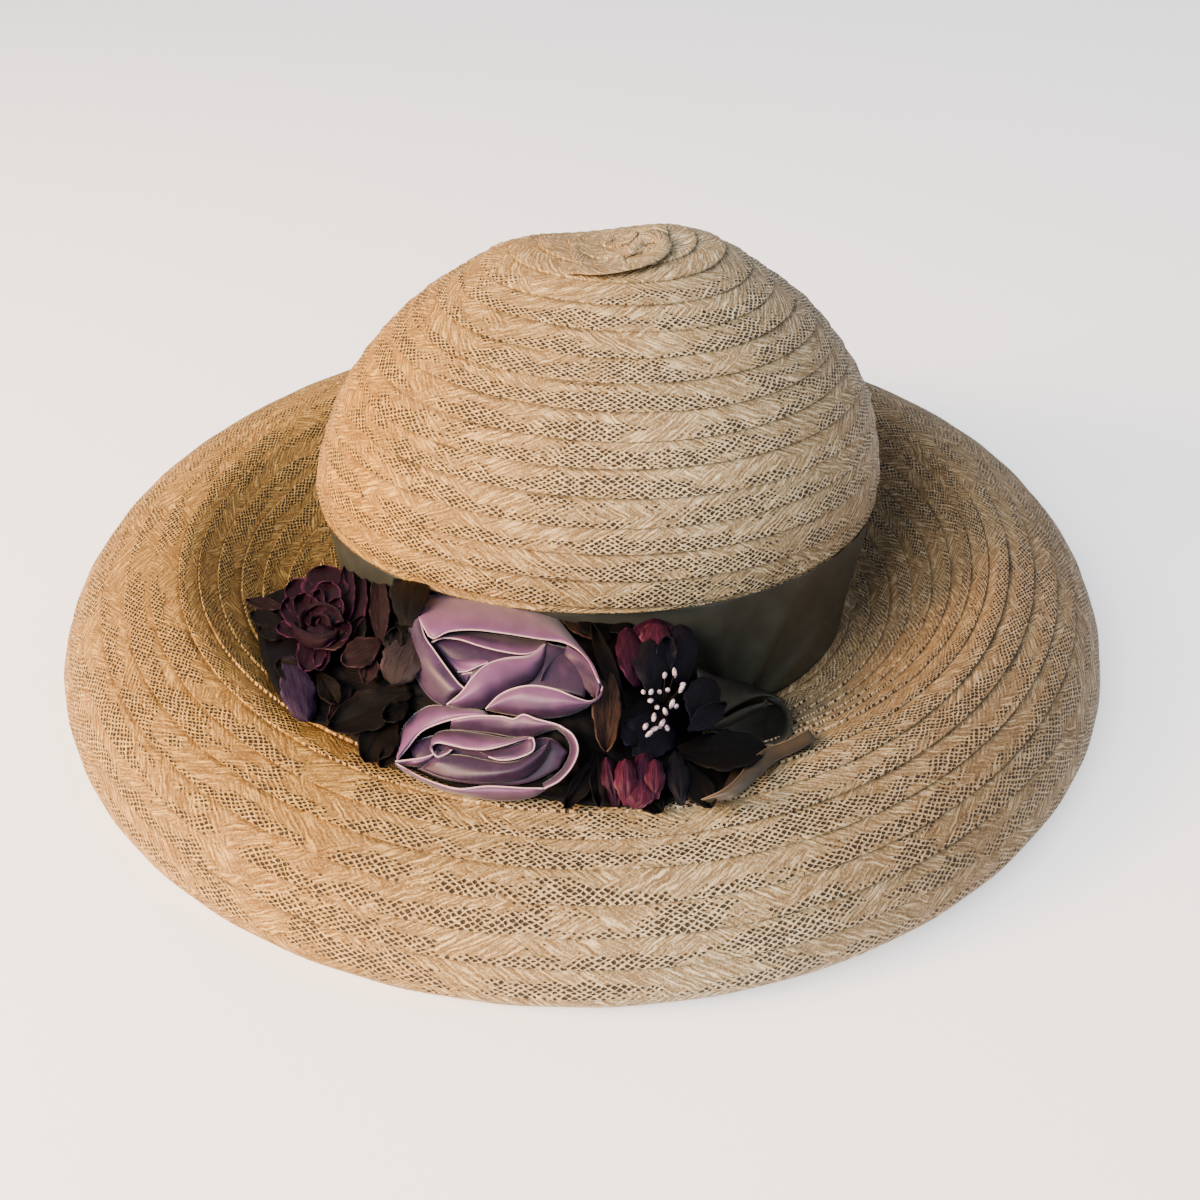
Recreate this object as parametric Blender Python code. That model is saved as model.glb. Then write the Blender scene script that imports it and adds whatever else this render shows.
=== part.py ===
"""Sun hat sewn from straw braid, with a satin band and a spray of cloth flowers.

Metres, +Z up. The origin is on the surface, under the middle of the brim. The long axis of the head opening runs
along X, and the flowers are on the -Y side. Angles round the hat are measured from -Y towards +X. The crown, neck
and brim are walls that follow side profiles. Everything else sits in the valley between the band and the brim, and
takes its place from the same walls, so that it follows when they change.
"""

import math
from collections import namedtuple

import bmesh
import bpy
import numpy as np

# Head opening inside the foot of the neck: half of its width and depth, 57 cm round
HEAD_HALF_WIDTH = 0.0984
HEAD_HALF_DEPTH = 0.0829

# Straw braid: its wall, the part of each row that shows, and how far a row's lower edge stands out
STRAW_WALL = 0.0018
BRAID_PITCH = 0.0100
BRAID_LIP = 0.0009

# Neck and crown
NECK_FOOT_HEIGHT = 0.0078
NECK_FLARE_WIDTH = 0.0060
NECK_FLARE_DEPTH = 0.0005
CROWN_OVERHANG = 0.0016
CROWN_EDGE_HEIGHT = 0.0650
CROWN_RISE = 0.0970
CROWN_SHIFT = 0.0055
CROWN_LEAN = 0.0052
TIP_CAP_LENGTH = 0.0240

# Brim
BRIM_HALF_WIDTH = 0.2050
BRIM_HALF_DEPTH = 0.2028
BRIM_CREST_HEIGHT = 0.0463
RIM_HEIGHT = 0.0120
RIM_TUCK = 0.0080

# Ribbon and cloth
RIBBON_WALL = 0.0010
BAND_FOOT_CLEARANCE = 0.0014
BAND_TOP_CLEARANCE = 0.0006
PLEAT_DEPTH = 0.0010
PLEAT_COUNT = 3
PLEAT_REACH_DEG = 30
CLOTH_WALL = 0.0010
TAIL_HALF_WIDTH = 0.0055

# Clearances
SEAM_GAP = 0.0003
SEAT_GAP = 0.0006

# How far the leaf bed and the knot swell above a straight line across the valley
BED_BULGE = 0.0060
KNOT_BULGE = 0.0045

# Shape of every flower, as shares of its rise: drop from the middle to the rim, depth of the winding fold, lobes
FLOWER_DOME = 0.30
FLOWER_FOLD = 0.12
FLOWER_LOBE = 0.08

# How blunt a leaf is at its stem: 1 is the same as at its tip
LEAF_BLUNTNESS = 0.8

# Sides of every ring round the hat, so that walls that face each other have the same flats
SIDES = 40
STEP = 2 * math.pi / SIDES

# Where the other surfaces have their points: shares from one end of each to the other
TIP_SHARES = (0.25, 0.50, 0.75)
CROWN_INSIDE = np.linspace(1.00, 0.08, 11)
BRIM_UNDERSIDE = np.linspace(0.97, 0.03, 14)
FILLING_TOP = np.linspace(0.0, 1.0, 9)
FLOWER_BACK = (1.00, 0.66, 0.33)
LEAF_LENGTH = (0.12, 0.34, 0.56, 0.78, 0.93)
ACROSS = (-1.0, -0.5, 0.0, 0.5, 1.0)

Row = namedtuple("Row", "half_width half_depth height shift lift")

# Crown profile from the tip down: shares of its half width, of its rise above the edge and of its lean
CrownSection = namedtuple("CrownSection", "out rise lean")
CROWN_SECTIONS = (
    CrownSection(0.000, 1.000, 1.0),
    CrownSection(0.165, 0.995, 1.0),
    CrownSection(0.307, 0.978, 1.0),
    CrownSection(0.406, 0.931, 1.0),
    CrownSection(0.544, 0.823, 1.0),
    CrownSection(0.687, 0.705, 0.9),
    CrownSection(0.818, 0.546, 0.7),
    CrownSection(0.917, 0.377, 0.5),
    CrownSection(0.986, 0.157, 0.2),
    CrownSection(1.000, 0.052, 0.0),
    CrownSection(0.998, 0.000, 0.0),
)

# Brim profile from the neck out: shares of the way to the outermost line at the sides and at the front and back,
# share of the crest's height, and share of the slow waves round the brim
BrimSection = namedtuple("BrimSection", "side front rise wave")
BRIM_SECTIONS = (
    BrimSection(0.112, 0.116, 0.227, 0.1),
    BrimSection(0.288, 0.272, 0.508, 0.3),
    BrimSection(0.458, 0.432, 0.832, 0.7),
    BrimSection(0.567, 0.613, 1.000, 1.0),
    BrimSection(0.738, 0.773, 0.940, 1.0),
    BrimSection(0.880, 0.903, 0.778, 1.0),
    BrimSection(0.968, 0.975, 0.518, 0.6),
)

# The strip below the brim's outermost line: shares of the rim's tuck and of its height
RimSection = namedtuple("RimSection", "tuck height")
RIM_SECTIONS = (RimSection(0.00, 1.00), RimSection(0.50, 0.50), RimSection(1.00, 0.00))

# Slow waves round the brim: where, how far up as a share of the crest, and how wide
Wave = namedtuple("Wave", "at_deg lift reach_deg")
BRIM_WAVES = (Wave(95, 0.03, 35), Wave(-115, -0.03, 40))

# Lumps of the pinched tip: where as shares of the crown's half width, how high and how wide
Lump = namedtuple("Lump", "across back rise reach")
TIP_LUMPS = (
    Lump(0.15, 0.06, 0.030, 0.10),
    Lump(-0.04, -0.12, -0.020, 0.07),
    Lump(-0.18, -0.02, 0.012, 0.08),
    Lump(-0.10, 0.32, -0.070, 0.30),
)

# Levels of the band from its foot to its top
BAND_LEVELS = (0.0, 0.2, 0.4, 0.6, 0.8, 1.0)

# Pieces that fill the valley, from their left end to their right: the band level that they reach there, and how
# far out they go as a share of the way from the band to the outermost line
Edge = namedtuple("Edge", "at_deg level out")
BED_EDGES = (
    Edge(-60, 0.78, 0.32),
    Edge(-54, 0.85, 0.39),
    Edge(-45, 0.91, 0.46),
    Edge(-36, 0.93, 0.505),
    Edge(-18, 0.93, 0.54),
    Edge(9, 0.93, 0.545),
    Edge(17, 0.90, 0.53),
)
KNOT_EDGES = (
    Edge(18, 0.50, 0.47),
    Edge(24, 0.42, 0.42),
    Edge(30, 0.34, 0.34),
    Edge(35, 0.24, 0.27),
)

# Where a filling's underside follows the brim: shares of the way out
UNDER_SHARES = (0.92, 0.83, 0.72, 0.6, 0.46, 0.32, 0.2, 0.1)

# And where it runs up the band: shares of the level that it reaches
BESIDE_SHARES = (0.1, 0.3, 0.5, 0.7, 0.9)

# Rolled and folded flowers: place on the bed, half sizes, rise, how much more the upper side rises, turns of the
# winding fold, lobes round the rim, and the points round and out from the middle
Flower = namedtuple("Flower", "name at_deg down half_width half_height rise tilt turns lobes sides rings")
FLOWERS = (
    Flower("mauve_rose_upper", -12.9, 0.34, 0.0310, 0.0170, 0.0170, 0.0080, 2.2, 2, 20, 7),
    Flower("mauve_rose_lower", -12.2, 0.82, 0.0280, 0.0125, 0.0120, 0.0010, 2.2, 2, 20, 7),
    Flower("plum_rose", -44.0, 0.46, 0.0155, 0.0165, 0.0170, 0.0030, 2.0, 5, 14, 7),
    Flower("burgundy_bud_upper", 8.0, 0.30, 0.0088, 0.0083, 0.0150, 0.0020, 1.5, 3, 14, 5),
    Flower("burgundy_bud_lower", 6.0, 0.87, 0.0103, 0.0083, 0.0120, 0.0010, 1.5, 3, 14, 5),
    Flower("stamens", 9.5, 0.57, 0.0073, 0.0088, 0.0110, 0.0000, 0.0, 5, 14, 5),
)

# Single leaves and petals: place of the stem end on the bed, size, way of the tip, cupping, and lift of the tip
Leaf = namedtuple("Leaf", "name at_deg down length width turn_deg cup lift")
LEAVES = (
    Leaf("lavender_petal", -47.0, 0.895, 0.0170, 0.0105, 0, 0.0030, 0.0010),
    Leaf("black_leaf_left", -51.0, 0.50, 0.0190, 0.0130, 180, 0.0020, 0.0030),
    Leaf("black_leaf_back", -29.5, 0.30, 0.0150, 0.0150, 270, 0.0020, 0.0110),
    Leaf("taupe_petal", -29.0, 0.36, 0.0180, 0.0075, 86, 0.0030, 0.0010),
    Leaf("brown_leaf_left", -32.5, 0.68, 0.0160, 0.0105, 90, 0.0020, 0.0010),
    Leaf("black_leaf_low", -27.8, 0.70, 0.0180, 0.0085, 90, 0.0020, 0.0010),
    Leaf("black_leaf_top", 2.2, 0.27, 0.0150, 0.0085, 270, 0.0020, 0.0050),
    Leaf("brown_leaf_right", 3.0, 0.40, 0.0220, 0.0080, 90, 0.0020, 0.0010),
    Leaf("black_petal_upper", 14.2, 0.16, 0.0180, 0.0090, 90, 0.0030, 0.0010),
    Leaf("black_petal_middle", 14.6, 0.46, 0.0170, 0.0090, 90, 0.0030, 0.0010),
    Leaf("navy_petal", 13.6, 0.74, 0.0150, 0.0095, 90, 0.0030, 0.0010),
)

# The loose end of the ribbon: its way over the brim, as angle and share of the way out, and how its edge lifts
TailPoint = namedtuple("TailPoint", "at_deg out half_width lift")
TAIL = (
    TailPoint(18.5, 0.520, 0.5, 0.30),
    TailPoint(22.0, 0.505, 1.0, 0.50),
    TailPoint(26.0, 0.475, 1.0, 0.55),
    TailPoint(30.0, 0.435, 0.9, 0.45),
    TailPoint(33.0, 0.405, 0.7, 0.25),
    TailPoint(35.0, 0.385, 0.4, 0.10),
)

# Colours as seen in daylight: linear red, green and blue, then roughness
Finish = namedtuple("Finish", "red green blue roughness")
STRAW = Finish(0.520, 0.380, 0.230, 0.75)
OLIVE_SATIN = Finish(0.075, 0.078, 0.062, 0.40)
MAUVE_SATIN = Finish(0.400, 0.230, 0.290, 0.45)
PLUM_CLOTH = Finish(0.055, 0.010, 0.030, 0.60)
BURGUNDY_CLOTH = Finish(0.110, 0.012, 0.028, 0.50)
BLACK_CLOTH = Finish(0.010, 0.009, 0.012, 0.60)
BROWN_CLOTH = Finish(0.050, 0.024, 0.018, 0.70)
LAVENDER_CLOTH = Finish(0.095, 0.055, 0.110, 0.60)
STAMEN_WHITE = Finish(0.600, 0.540, 0.580, 0.50)
CLOTH_OF = {
    "mauve_rose_upper": MAUVE_SATIN,
    "mauve_rose_lower": MAUVE_SATIN,
    "plum_rose": PLUM_CLOTH,
    "burgundy_bud_upper": BURGUNDY_CLOTH,
    "burgundy_bud_lower": BURGUNDY_CLOTH,
    "stamens": STAMEN_WHITE,
    "lavender_petal": LAVENDER_CLOTH,
    "taupe_petal": BROWN_CLOTH,
    "brown_leaf_left": BROWN_CLOTH,
    "brown_leaf_right": BROWN_CLOTH,
}


def facet(angle):
    """The point at this angle of a ring one metre in radius with SIDES flats: across, and towards the front."""
    side = math.floor(angle / STEP)
    share = angle / STEP - side
    near, far = side * STEP, (side + 1) * STEP
    across = (1 - share) * math.sin(near) + share * math.sin(far)
    front = (1 - share) * math.cos(near) + share * math.cos(far)
    return across, front


def wave(angle):
    """Height that the slow waves add at this angle round the brim."""
    total = 0.0
    for bump in BRIM_WAVES:
        away = (math.degrees(angle) - bump.at_deg + 180) % 360 - 180
        total += bump.lift * BRIM_CREST_HEIGHT * math.exp(-((away / bump.reach_deg) ** 2))
    return total


def ring_point(row, angle):
    across, front = facet(angle)
    return np.array(
        [
            row.shift + row.half_width * across,
            -row.half_depth * front,
            row.height + row.lift * wave(angle),
        ]
    )


def ring(row):
    return [ring_point(row, i * STEP) for i in range(SIDES)]


def smooth(rows, per_span=10):
    """Points of a Catmull-Rom curve through the rows."""
    rows = np.array(rows, float)
    ends = np.vstack([2 * rows[0] - rows[1], rows, 2 * rows[-1] - rows[-2]])
    points = []
    for a, b, c, d in zip(ends, ends[1:], ends[2:], ends[3:]):
        for t in np.arange(per_span) / per_span:
            points.append(0.5 * (2 * b + (c - a) * t + (2 * a - 5 * b + 4 * c - d) * t**2 + (3 * (b - c) + d - a) * t**3))
    points.append(rows[-1])
    return np.array(points)


class Skin:
    """A side profile that is swept round the hat, measured along its length."""

    def __init__(self, rows):
        self.rows = smooth(rows)
        self.plane = np.column_stack([(self.rows[:, 0] + self.rows[:, 1]) / 2, self.rows[:, 2]])
        steps = np.linalg.norm(np.diff(self.plane, axis=0), axis=1)
        self.distance = np.concatenate([[0.0], np.cumsum(steps)])
        self.length = self.distance[-1]

    def at(self, distance, off=0.0):
        """The row at this distance along the profile, moved out of the wall by off."""
        row = [np.interp(distance, self.distance, column) for column in self.rows.T]
        reach = self.length / 200
        ahead, behind = (
            np.array([np.interp(d, self.distance, column) for column in self.plane.T])
            for d in (min(distance + reach, self.length), max(distance - reach, 0.0))
        )
        way = (ahead - behind) / np.linalg.norm(ahead - behind)
        return Row(row[0] - off * way[1], row[1] - off * way[1], row[2] + off * way[0], row[3], row[4])

    def where_width(self, half_width):
        """Distance along the profile at which it first is this wide."""
        widest = int(np.argmax(self.rows[:, 0])) + 1
        return float(np.interp(half_width, self.rows[:widest, 0], self.distance[:widest]))


def shingled(skin, start, end):
    """Rows of overlapping braid: each starts under the lip of the one above and ends in its own lip."""
    count = max(1, round((end - start) / BRAID_PITCH))
    rows = []
    for i in range(count):
        top, bottom = (start + (end - start) * (i + k) / count for k in (0, 1))
        rows += [skin.at(top), skin.at(bottom, BRAID_LIP)]
    return rows


def neck_row(share, off=0.0):
    """The neck's outer surface, from its foot at 0 to its top at 1."""
    foot = NECK_FOOT_HEIGHT + SEAM_GAP
    return Row(
        HEAD_HALF_WIDTH + STRAW_WALL + share * NECK_FLARE_WIDTH + off,
        HEAD_HALF_DEPTH + STRAW_WALL + share * NECK_FLARE_DEPTH + off,
        foot + share * (CROWN_EDGE_HEIGHT - foot),
        CROWN_SHIFT,
        0.0,
    )


def crown_skin():
    top = neck_row(1.0, CROWN_OVERHANG)
    return Skin(
        [
            (
                s.out * top.half_width,
                s.out * top.half_depth,
                CROWN_EDGE_HEIGHT + s.rise * CROWN_RISE,
                CROWN_SHIFT + s.lean * CROWN_LEAN,
                0,
            )
            for s in CROWN_SECTIONS
        ]
    )


def brim_skin():
    foot = neck_row(0.0)
    rows = [(HEAD_HALF_WIDTH, HEAD_HALF_DEPTH, NECK_FOOT_HEIGHT, CROWN_SHIFT, 0)]
    rows.append((foot.half_width + RIBBON_WALL, foot.half_depth + RIBBON_WALL, NECK_FOOT_HEIGHT, CROWN_SHIFT, 0))
    for s in BRIM_SECTIONS:
        half_width = foot.half_width + s.side * (BRIM_HALF_WIDTH - foot.half_width)
        half_depth = foot.half_depth + s.front * (BRIM_HALF_DEPTH - foot.half_depth)
        rows.append((half_width, half_depth, s.rise * BRIM_CREST_HEIGHT, (1 - s.side) * CROWN_SHIFT, s.wave))
    for s in RIM_SECTIONS:
        tuck = s.tuck * RIM_TUCK
        rows.append((BRIM_HALF_WIDTH - tuck, BRIM_HALF_DEPTH - tuck, s.height * RIM_HEIGHT, 0, 0))
    return Skin(rows)


CROWN = crown_skin()
BRIM = brim_skin()


def pleat(angle, share):
    """How far the band's folds stand out near the knot, at this share of its height."""
    away = (math.degrees(angle) - KNOT_EDGES[0].at_deg + 180) % 360 - 180
    near = math.exp(-((away / PLEAT_REACH_DEG) ** 2))
    return PLEAT_DEPTH * near * math.sin(math.pi * share) * (1 + math.sin(2 * math.pi * PLEAT_COUNT * share)) / 2


def band_level(angle, level, off):
    """A point on the band's outer side at one of its levels."""
    bottom = NECK_FOOT_HEIGHT + BAND_FOOT_CLEARANCE
    top = CROWN_EDGE_HEIGHT - BAND_TOP_CLEARANCE
    foot = NECK_FOOT_HEIGHT + SEAM_GAP
    height = bottom + level * (top - bottom)
    share = (height - foot) / (CROWN_EDGE_HEIGHT - foot)
    nearest = round(angle / STEP) * STEP
    return ring_point(neck_row(share, SEAM_GAP + RIBBON_WALL + off + pleat(nearest, level)), angle)


def band_point(angle, level, off):
    """A point off the band, on the flat between two of its levels and two of its sides."""
    side = math.floor(angle / STEP)
    share = angle / STEP - side
    above = int(np.clip(np.searchsorted(BAND_LEVELS, level), 1, len(BAND_LEVELS) - 1))
    low, high = BAND_LEVELS[above - 1], BAND_LEVELS[above]
    up = (level - low) / (high - low)
    corners = [[band_level((side + i) * STEP, value, off) for value in (low, high)] for i in (0, 1)]
    near, far = ((1 - up) * pair[0] + up * pair[1] for pair in corners)
    return (1 - share) * near + share * far


def on_brim(angle, out, off):
    """A point above the brim at this share of the way from the band to the outermost line."""
    start = brim_start()
    return ring_point(BRIM.at(start + out * (rim_distance() - start), BRAID_LIP + off), angle)


def brim_start():
    foot = neck_row(0.0)
    return BRIM.where_width(foot.half_width + 2 * RIBBON_WALL)


def rim_distance():
    return BRIM.where_width(BRIM_HALF_WIDTH)


def across_valley(edges, angle):
    """The upper and lower edge of a filling at this angle, its share of the way out, and the way off it."""
    places = [edge.at_deg for edge in edges]
    level = np.interp(math.degrees(angle), places, [edge.level for edge in edges])
    out = np.interp(math.degrees(angle), places, [edge.out for edge in edges])
    upper = band_point(angle, level, SEAT_GAP)
    lower = on_brim(angle, out, SEAT_GAP)
    slope = lower - upper
    way_off = np.cross(np.cross(slope, (0, 0, 1)), slope)
    return upper, lower, level, out, way_off / np.linalg.norm(way_off)


def bed_frame(angle, down):
    """The point of the bed's top at this angle and share of the way down, and the way off it."""
    upper, lower, _, _, way_off = across_valley(BED_EDGES, angle)
    return upper + down * (lower - upper) + BED_BULGE * math.sin(math.pi * down) * way_off, way_off


def over_bed(at_deg, down, along, across, off):
    """A point off the bed, at lengths along and down the bed from a place on it."""
    angle = math.radians(at_deg)
    nudge = math.radians(1)
    arc = np.linalg.norm(bed_frame(angle + nudge, 0.5)[0] - bed_frame(angle - nudge, 0.5)[0]) / (2 * nudge)
    depth = np.linalg.norm(bed_frame(angle, 1.0)[0] - bed_frame(angle, 0.0)[0])
    point, way_off = bed_frame(angle + along / arc, down + across / depth)
    return point + off * way_off


def loft(name, sections, finish, loop=False):
    """One closed solid through rings of points, which may start and end in a single point."""
    mesh = bpy.data.meshes.new(name)
    shape = bmesh.new()
    made = [[shape.verts.new(p) for p in section] for section in sections]
    pairs = list(zip(made, made[1:]))
    if loop:
        pairs.append((made[-1], made[0]))
    for first, second in pairs:
        count = max(len(first), len(second))
        for i in range(count):
            j = (i + 1) % count
            corners = [first[i % len(first)], first[j % len(first)], second[j % len(second)], second[i % len(second)]]
            shape.faces.new(list(dict.fromkeys(corners)))
    bmesh.ops.recalc_face_normals(shape, faces=shape.faces)
    bmesh.ops.triangulate(shape, faces=shape.faces)
    shape.to_mesh(mesh)
    shape.free()
    mesh.shade_smooth()
    mesh.set_sharp_from_angle(angle=math.radians(35))
    mesh.materials.append(material(name, finish))
    made_object = bpy.data.objects.new(name, mesh)
    bpy.context.collection.objects.link(made_object)
    return made_object


def material(name, finish):
    made = bpy.data.materials.new(name)
    made.use_nodes = True
    shader = made.node_tree.nodes["Principled BSDF"]
    shader.inputs["Base Color"].default_value = (finish.red, finish.green, finish.blue, 1)
    shader.inputs["Roughness"].default_value = finish.roughness
    shader.inputs["Metallic"].default_value = 0
    return made


def with_lumps(points):
    """Adds the lumps and dents of the pinched tip, which fade out towards the crown's edge."""
    wide = neck_row(1.0, CROWN_OVERHANG).half_width
    raised = []
    for x, y, z in points:
        height = max(0.0, z - CROWN_EDGE_HEIGHT)
        for lump in TIP_LUMPS:
            middle = CROWN_SHIFT + CROWN_LEAN + lump.across * wide
            away = math.hypot(x - middle, y - lump.back * wide) / (lump.reach * wide)
            z += lump.rise * height * math.exp(-(away**2))
        raised.append(np.array([x, y, z]))
    return raised


def crown():
    """The dome with its pinched tip and rows of braid, and the neck that it turns in to."""
    cap = [CROWN.at(TIP_CAP_LENGTH * share) for share in TIP_SHARES]
    outer = cap + shingled(CROWN, TIP_CAP_LENGTH, CROWN.length)
    neck_top, neck_foot = neck_row(1.0), neck_row(0.0)
    inner_foot, inner_top = neck_row(0.0, -STRAW_WALL), neck_row(1.0, -STRAW_WALL)
    turn = CROWN.length - STRAW_WALL
    inner = [CROWN.at(turn * share, -STRAW_WALL) for share in CROWN_INSIDE]
    rows = outer + [neck_top, neck_foot, inner_foot, inner_top._replace(height=inner_top.height + STRAW_WALL / 2)]
    tip = CROWN.at(0.0)
    peak = [np.array([tip.shift, 0.0, tip.height])]
    hollow = [np.array([tip.shift, 0.0, tip.height - STRAW_WALL])]
    sections = [peak] + [ring(row) for row in rows + inner] + [hollow]
    return loft("crown", [with_lumps(section) for section in sections], STRAW)


def brim():
    """The cupped and rolled brim, with its flat edge on the surface."""
    start = brim_start()
    seat = BRIM.where_width(neck_row(0.0).half_width + RIBBON_WALL)
    top = [BRIM.at(0.0), BRIM.at(seat)] + shingled(BRIM, start, BRIM.length - BRAID_LIP)
    edge = BRIM.at(BRIM.length)
    edge_inside = edge._replace(half_width=edge.half_width - STRAW_WALL, half_depth=edge.half_depth - STRAW_WALL)
    under = [BRIM.at(BRIM.length * share, -STRAW_WALL) for share in BRIM_UNDERSIDE]
    head = BRIM.at(0.0)._replace(height=NECK_FOOT_HEIGHT - STRAW_WALL)
    return loft("brim", [ring(row) for row in top + [edge, edge_inside] + under + [head]], STRAW, loop=True)


def hat_band():
    """The satin ribbon round the neck, with soft folds near the knot."""
    outer = [[band_level(i * STEP, level, 0.0) for i in range(SIDES)] for level in BAND_LEVELS]
    inner = [[band_level(i * STEP, level, -RIBBON_WALL) for i in range(SIDES)] for level in reversed(BAND_LEVELS)]
    return loft("hat_band", outer + inner, OLIVE_SATIN, loop=True)


def stations(edges):
    """Angles of a filling's cross-sections: its two ends, and each side of the rings between that isn't close."""
    first, last = math.radians(edges[0].at_deg), math.radians(edges[-1].at_deg)
    close = 0.1
    between = range(math.ceil(first / STEP + close), math.floor(last / STEP - close) + 1)
    return [first] + [i * STEP for i in between] + [last]


def filling_section(edges, angle, relief):
    """The outline of a filling where it is cut across: its top, its underside along the brim, and up the band."""
    upper, lower, level, out, way_off = across_valley(edges, angle)
    top = [upper + down * (lower - upper) + relief(angle, down) * way_off for down in FILLING_TOP]
    under = [on_brim(angle, out * share, SEAT_GAP) for share in UNDER_SHARES]
    beside = [band_point(angle, level * share, SEAT_GAP) for share in BESIDE_SHARES]
    return top + under + beside


def filling(name, edges, relief, finish):
    sections = [filling_section(edges, angle, relief) for angle in stations(edges)]
    ends = [[np.mean(section, axis=0)] for section in (sections[0], sections[-1])]
    return loft(name, [ends[0]] + sections + [ends[1]], finish)


def bed_relief(angle, down):
    return BED_BULGE * math.sin(math.pi * down)


def knot_relief(angle, down):
    """Two soft folds that run along the loop of the knot and die out at its ends."""
    first, last = KNOT_EDGES[0].at_deg, KNOT_EDGES[-1].at_deg
    share = (math.degrees(angle) - first) / (last - first)
    folds = math.sin(math.pi * share) * math.sin(3 * math.pi * down) ** 2
    return KNOT_BULGE * (math.sin(math.pi * down) + folds)


def flower_height(flower, out, turn):
    """How high a flower stands off the bed at this share of the way out and angle round its middle."""
    dome = 1 - FLOWER_DOME * out**2
    winding = math.cos(2 * math.pi * flower.turns * out - turn) if flower.turns else 0.0
    lobes = FLOWER_LOBE * out * math.cos(flower.lobes * turn)
    upper_side = -math.sin(turn) * out
    return flower.rise * (dome * (1 - FLOWER_FOLD + FLOWER_FOLD * winding) + lobes) + flower.tilt * upper_side


def flower(shape):
    """A rolled flower: its folds wind out from the middle, and its back lies along the bed."""
    turns = [2 * math.pi * i / shape.sides for i in range(shape.sides)]

    def point(out, turn, off):
        along, across = shape.half_width * out * math.cos(turn), shape.half_height * out * math.sin(turn)
        return over_bed(shape.at_deg, shape.down, along, across, SEAT_GAP + off)

    shares = [i / shape.rings for i in range(1, shape.rings + 1)]
    top = [[point(out, turn, flower_height(shape, out, turn)) for turn in turns] for out in shares]
    back = [[point(out, turn, 0.0) for turn in turns] for out in FLOWER_BACK]
    peak, foot = point(0, 0, flower_height(shape, 0, 0)), point(0, 0, 0.0)
    return loft(shape.name, [[peak]] + top + back + [[foot]], CLOTH_OF[shape.name])


def leaf(shape):
    """A single cupped leaf or petal, lying on the bed by its rim and lifting towards its tip."""
    turn = math.radians(shape.turn_deg)

    def point(share, side, off):
        half = shape.width / 2 * math.sin(math.pi * share**LEAF_BLUNTNESS)
        run, aside = share * shape.length, side * half
        along = run * math.cos(turn) - aside * math.sin(turn)
        across = run * math.sin(turn) + aside * math.cos(turn)
        cup = shape.cup * (1 - side**2) * math.sin(math.pi * share)
        return over_bed(shape.at_deg, shape.down, along, across, SEAT_GAP + cup + shape.lift * share**2 + off)

    sections = []
    for share in LEAF_LENGTH:
        over = [point(share, side, CLOTH_WALL) for side in ACROSS]
        under = [point(share, side, 0.0) for side in reversed(ACROSS)]
        sections.append(over + under)
    stem, tip = ([point(share, 0.0, CLOTH_WALL / 2)] for share in (0.0, 1.0))
    return loft(shape.name, [stem] + sections + [tip], CLOTH_OF.get(shape.name, BLACK_CLOTH))


def ribbon_tail():
    """The loose end of the ribbon, laid along the brim with its outer edge lifted."""
    sections = []
    for place in TAIL:
        angle = math.radians(place.at_deg)
        reach = rim_distance() - brim_start()
        half = place.half_width * TAIL_HALF_WIDTH / reach
        over, under = [], []
        for side in ACROSS:
            rise = SEAT_GAP + place.lift * TAIL_HALF_WIDTH * max(side, 0.0) ** 2
            over.append(on_brim(angle, place.out + side * half, rise + RIBBON_WALL))
            under.append(on_brim(angle, place.out + side * half, rise))
        sections.append(over + under[::-1])
    return loft(
        "ribbon_tail",
        [[np.mean(sections[0], axis=0)]] + sections + [[np.mean(sections[-1], axis=0)]],
        OLIVE_SATIN,
    )


def main():
    for old in list(bpy.data.objects):
        bpy.data.objects.remove(old, do_unlink=True)
    crown()
    brim()
    hat_band()
    filling("leaf_bed", BED_EDGES, bed_relief, BLACK_CLOTH)
    filling("ribbon_knot", KNOT_EDGES, knot_relief, OLIVE_SATIN)
    ribbon_tail()
    for shape in FLOWERS:
        flower(shape)
    for shape in LEAVES:
        leaf(shape)


main()
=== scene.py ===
"""Looks of a sun hat: sewn straw braid, a satin band with its knot, and a spray of cloth flowers.

Metres, +Z up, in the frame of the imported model. Angles round the hat run from -Y towards +X. Places among
the flowers are given as the camera sees them, in pixels of a 1200 by 1200 picture, with a height in
millimetres above the bed of leaves.
"""

import math
from collections import namedtuple

import bpy
import numpy as np
from bpy.props import FloatProperty, FloatVectorProperty, PointerProperty
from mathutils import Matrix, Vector
from mathutils.bvhtree import BVHTree


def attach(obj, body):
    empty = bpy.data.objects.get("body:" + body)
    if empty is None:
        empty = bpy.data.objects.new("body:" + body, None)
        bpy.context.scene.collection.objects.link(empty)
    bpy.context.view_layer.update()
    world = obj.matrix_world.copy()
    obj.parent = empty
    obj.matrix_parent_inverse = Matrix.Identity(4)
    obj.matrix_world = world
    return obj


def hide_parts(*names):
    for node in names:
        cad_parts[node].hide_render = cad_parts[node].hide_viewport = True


bl_info = {
    "name": "Sun Hat",
    "version": (1, 0, 0),
    "blender": (4, 5, 0),
    "location": "3D View > Sidebar > Sun Hat",
    "description": "Builds the straw, ribbon and cloth flowers of a sun hat around its packed model",
    "category": "Object",
}

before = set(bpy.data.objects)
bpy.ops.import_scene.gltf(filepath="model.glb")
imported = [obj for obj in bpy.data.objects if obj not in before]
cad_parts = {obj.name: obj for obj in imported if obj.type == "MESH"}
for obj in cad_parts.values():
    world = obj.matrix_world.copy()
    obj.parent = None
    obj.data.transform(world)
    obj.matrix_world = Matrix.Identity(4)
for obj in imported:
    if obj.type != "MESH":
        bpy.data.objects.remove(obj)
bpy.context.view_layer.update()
MM = 0.001


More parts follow.
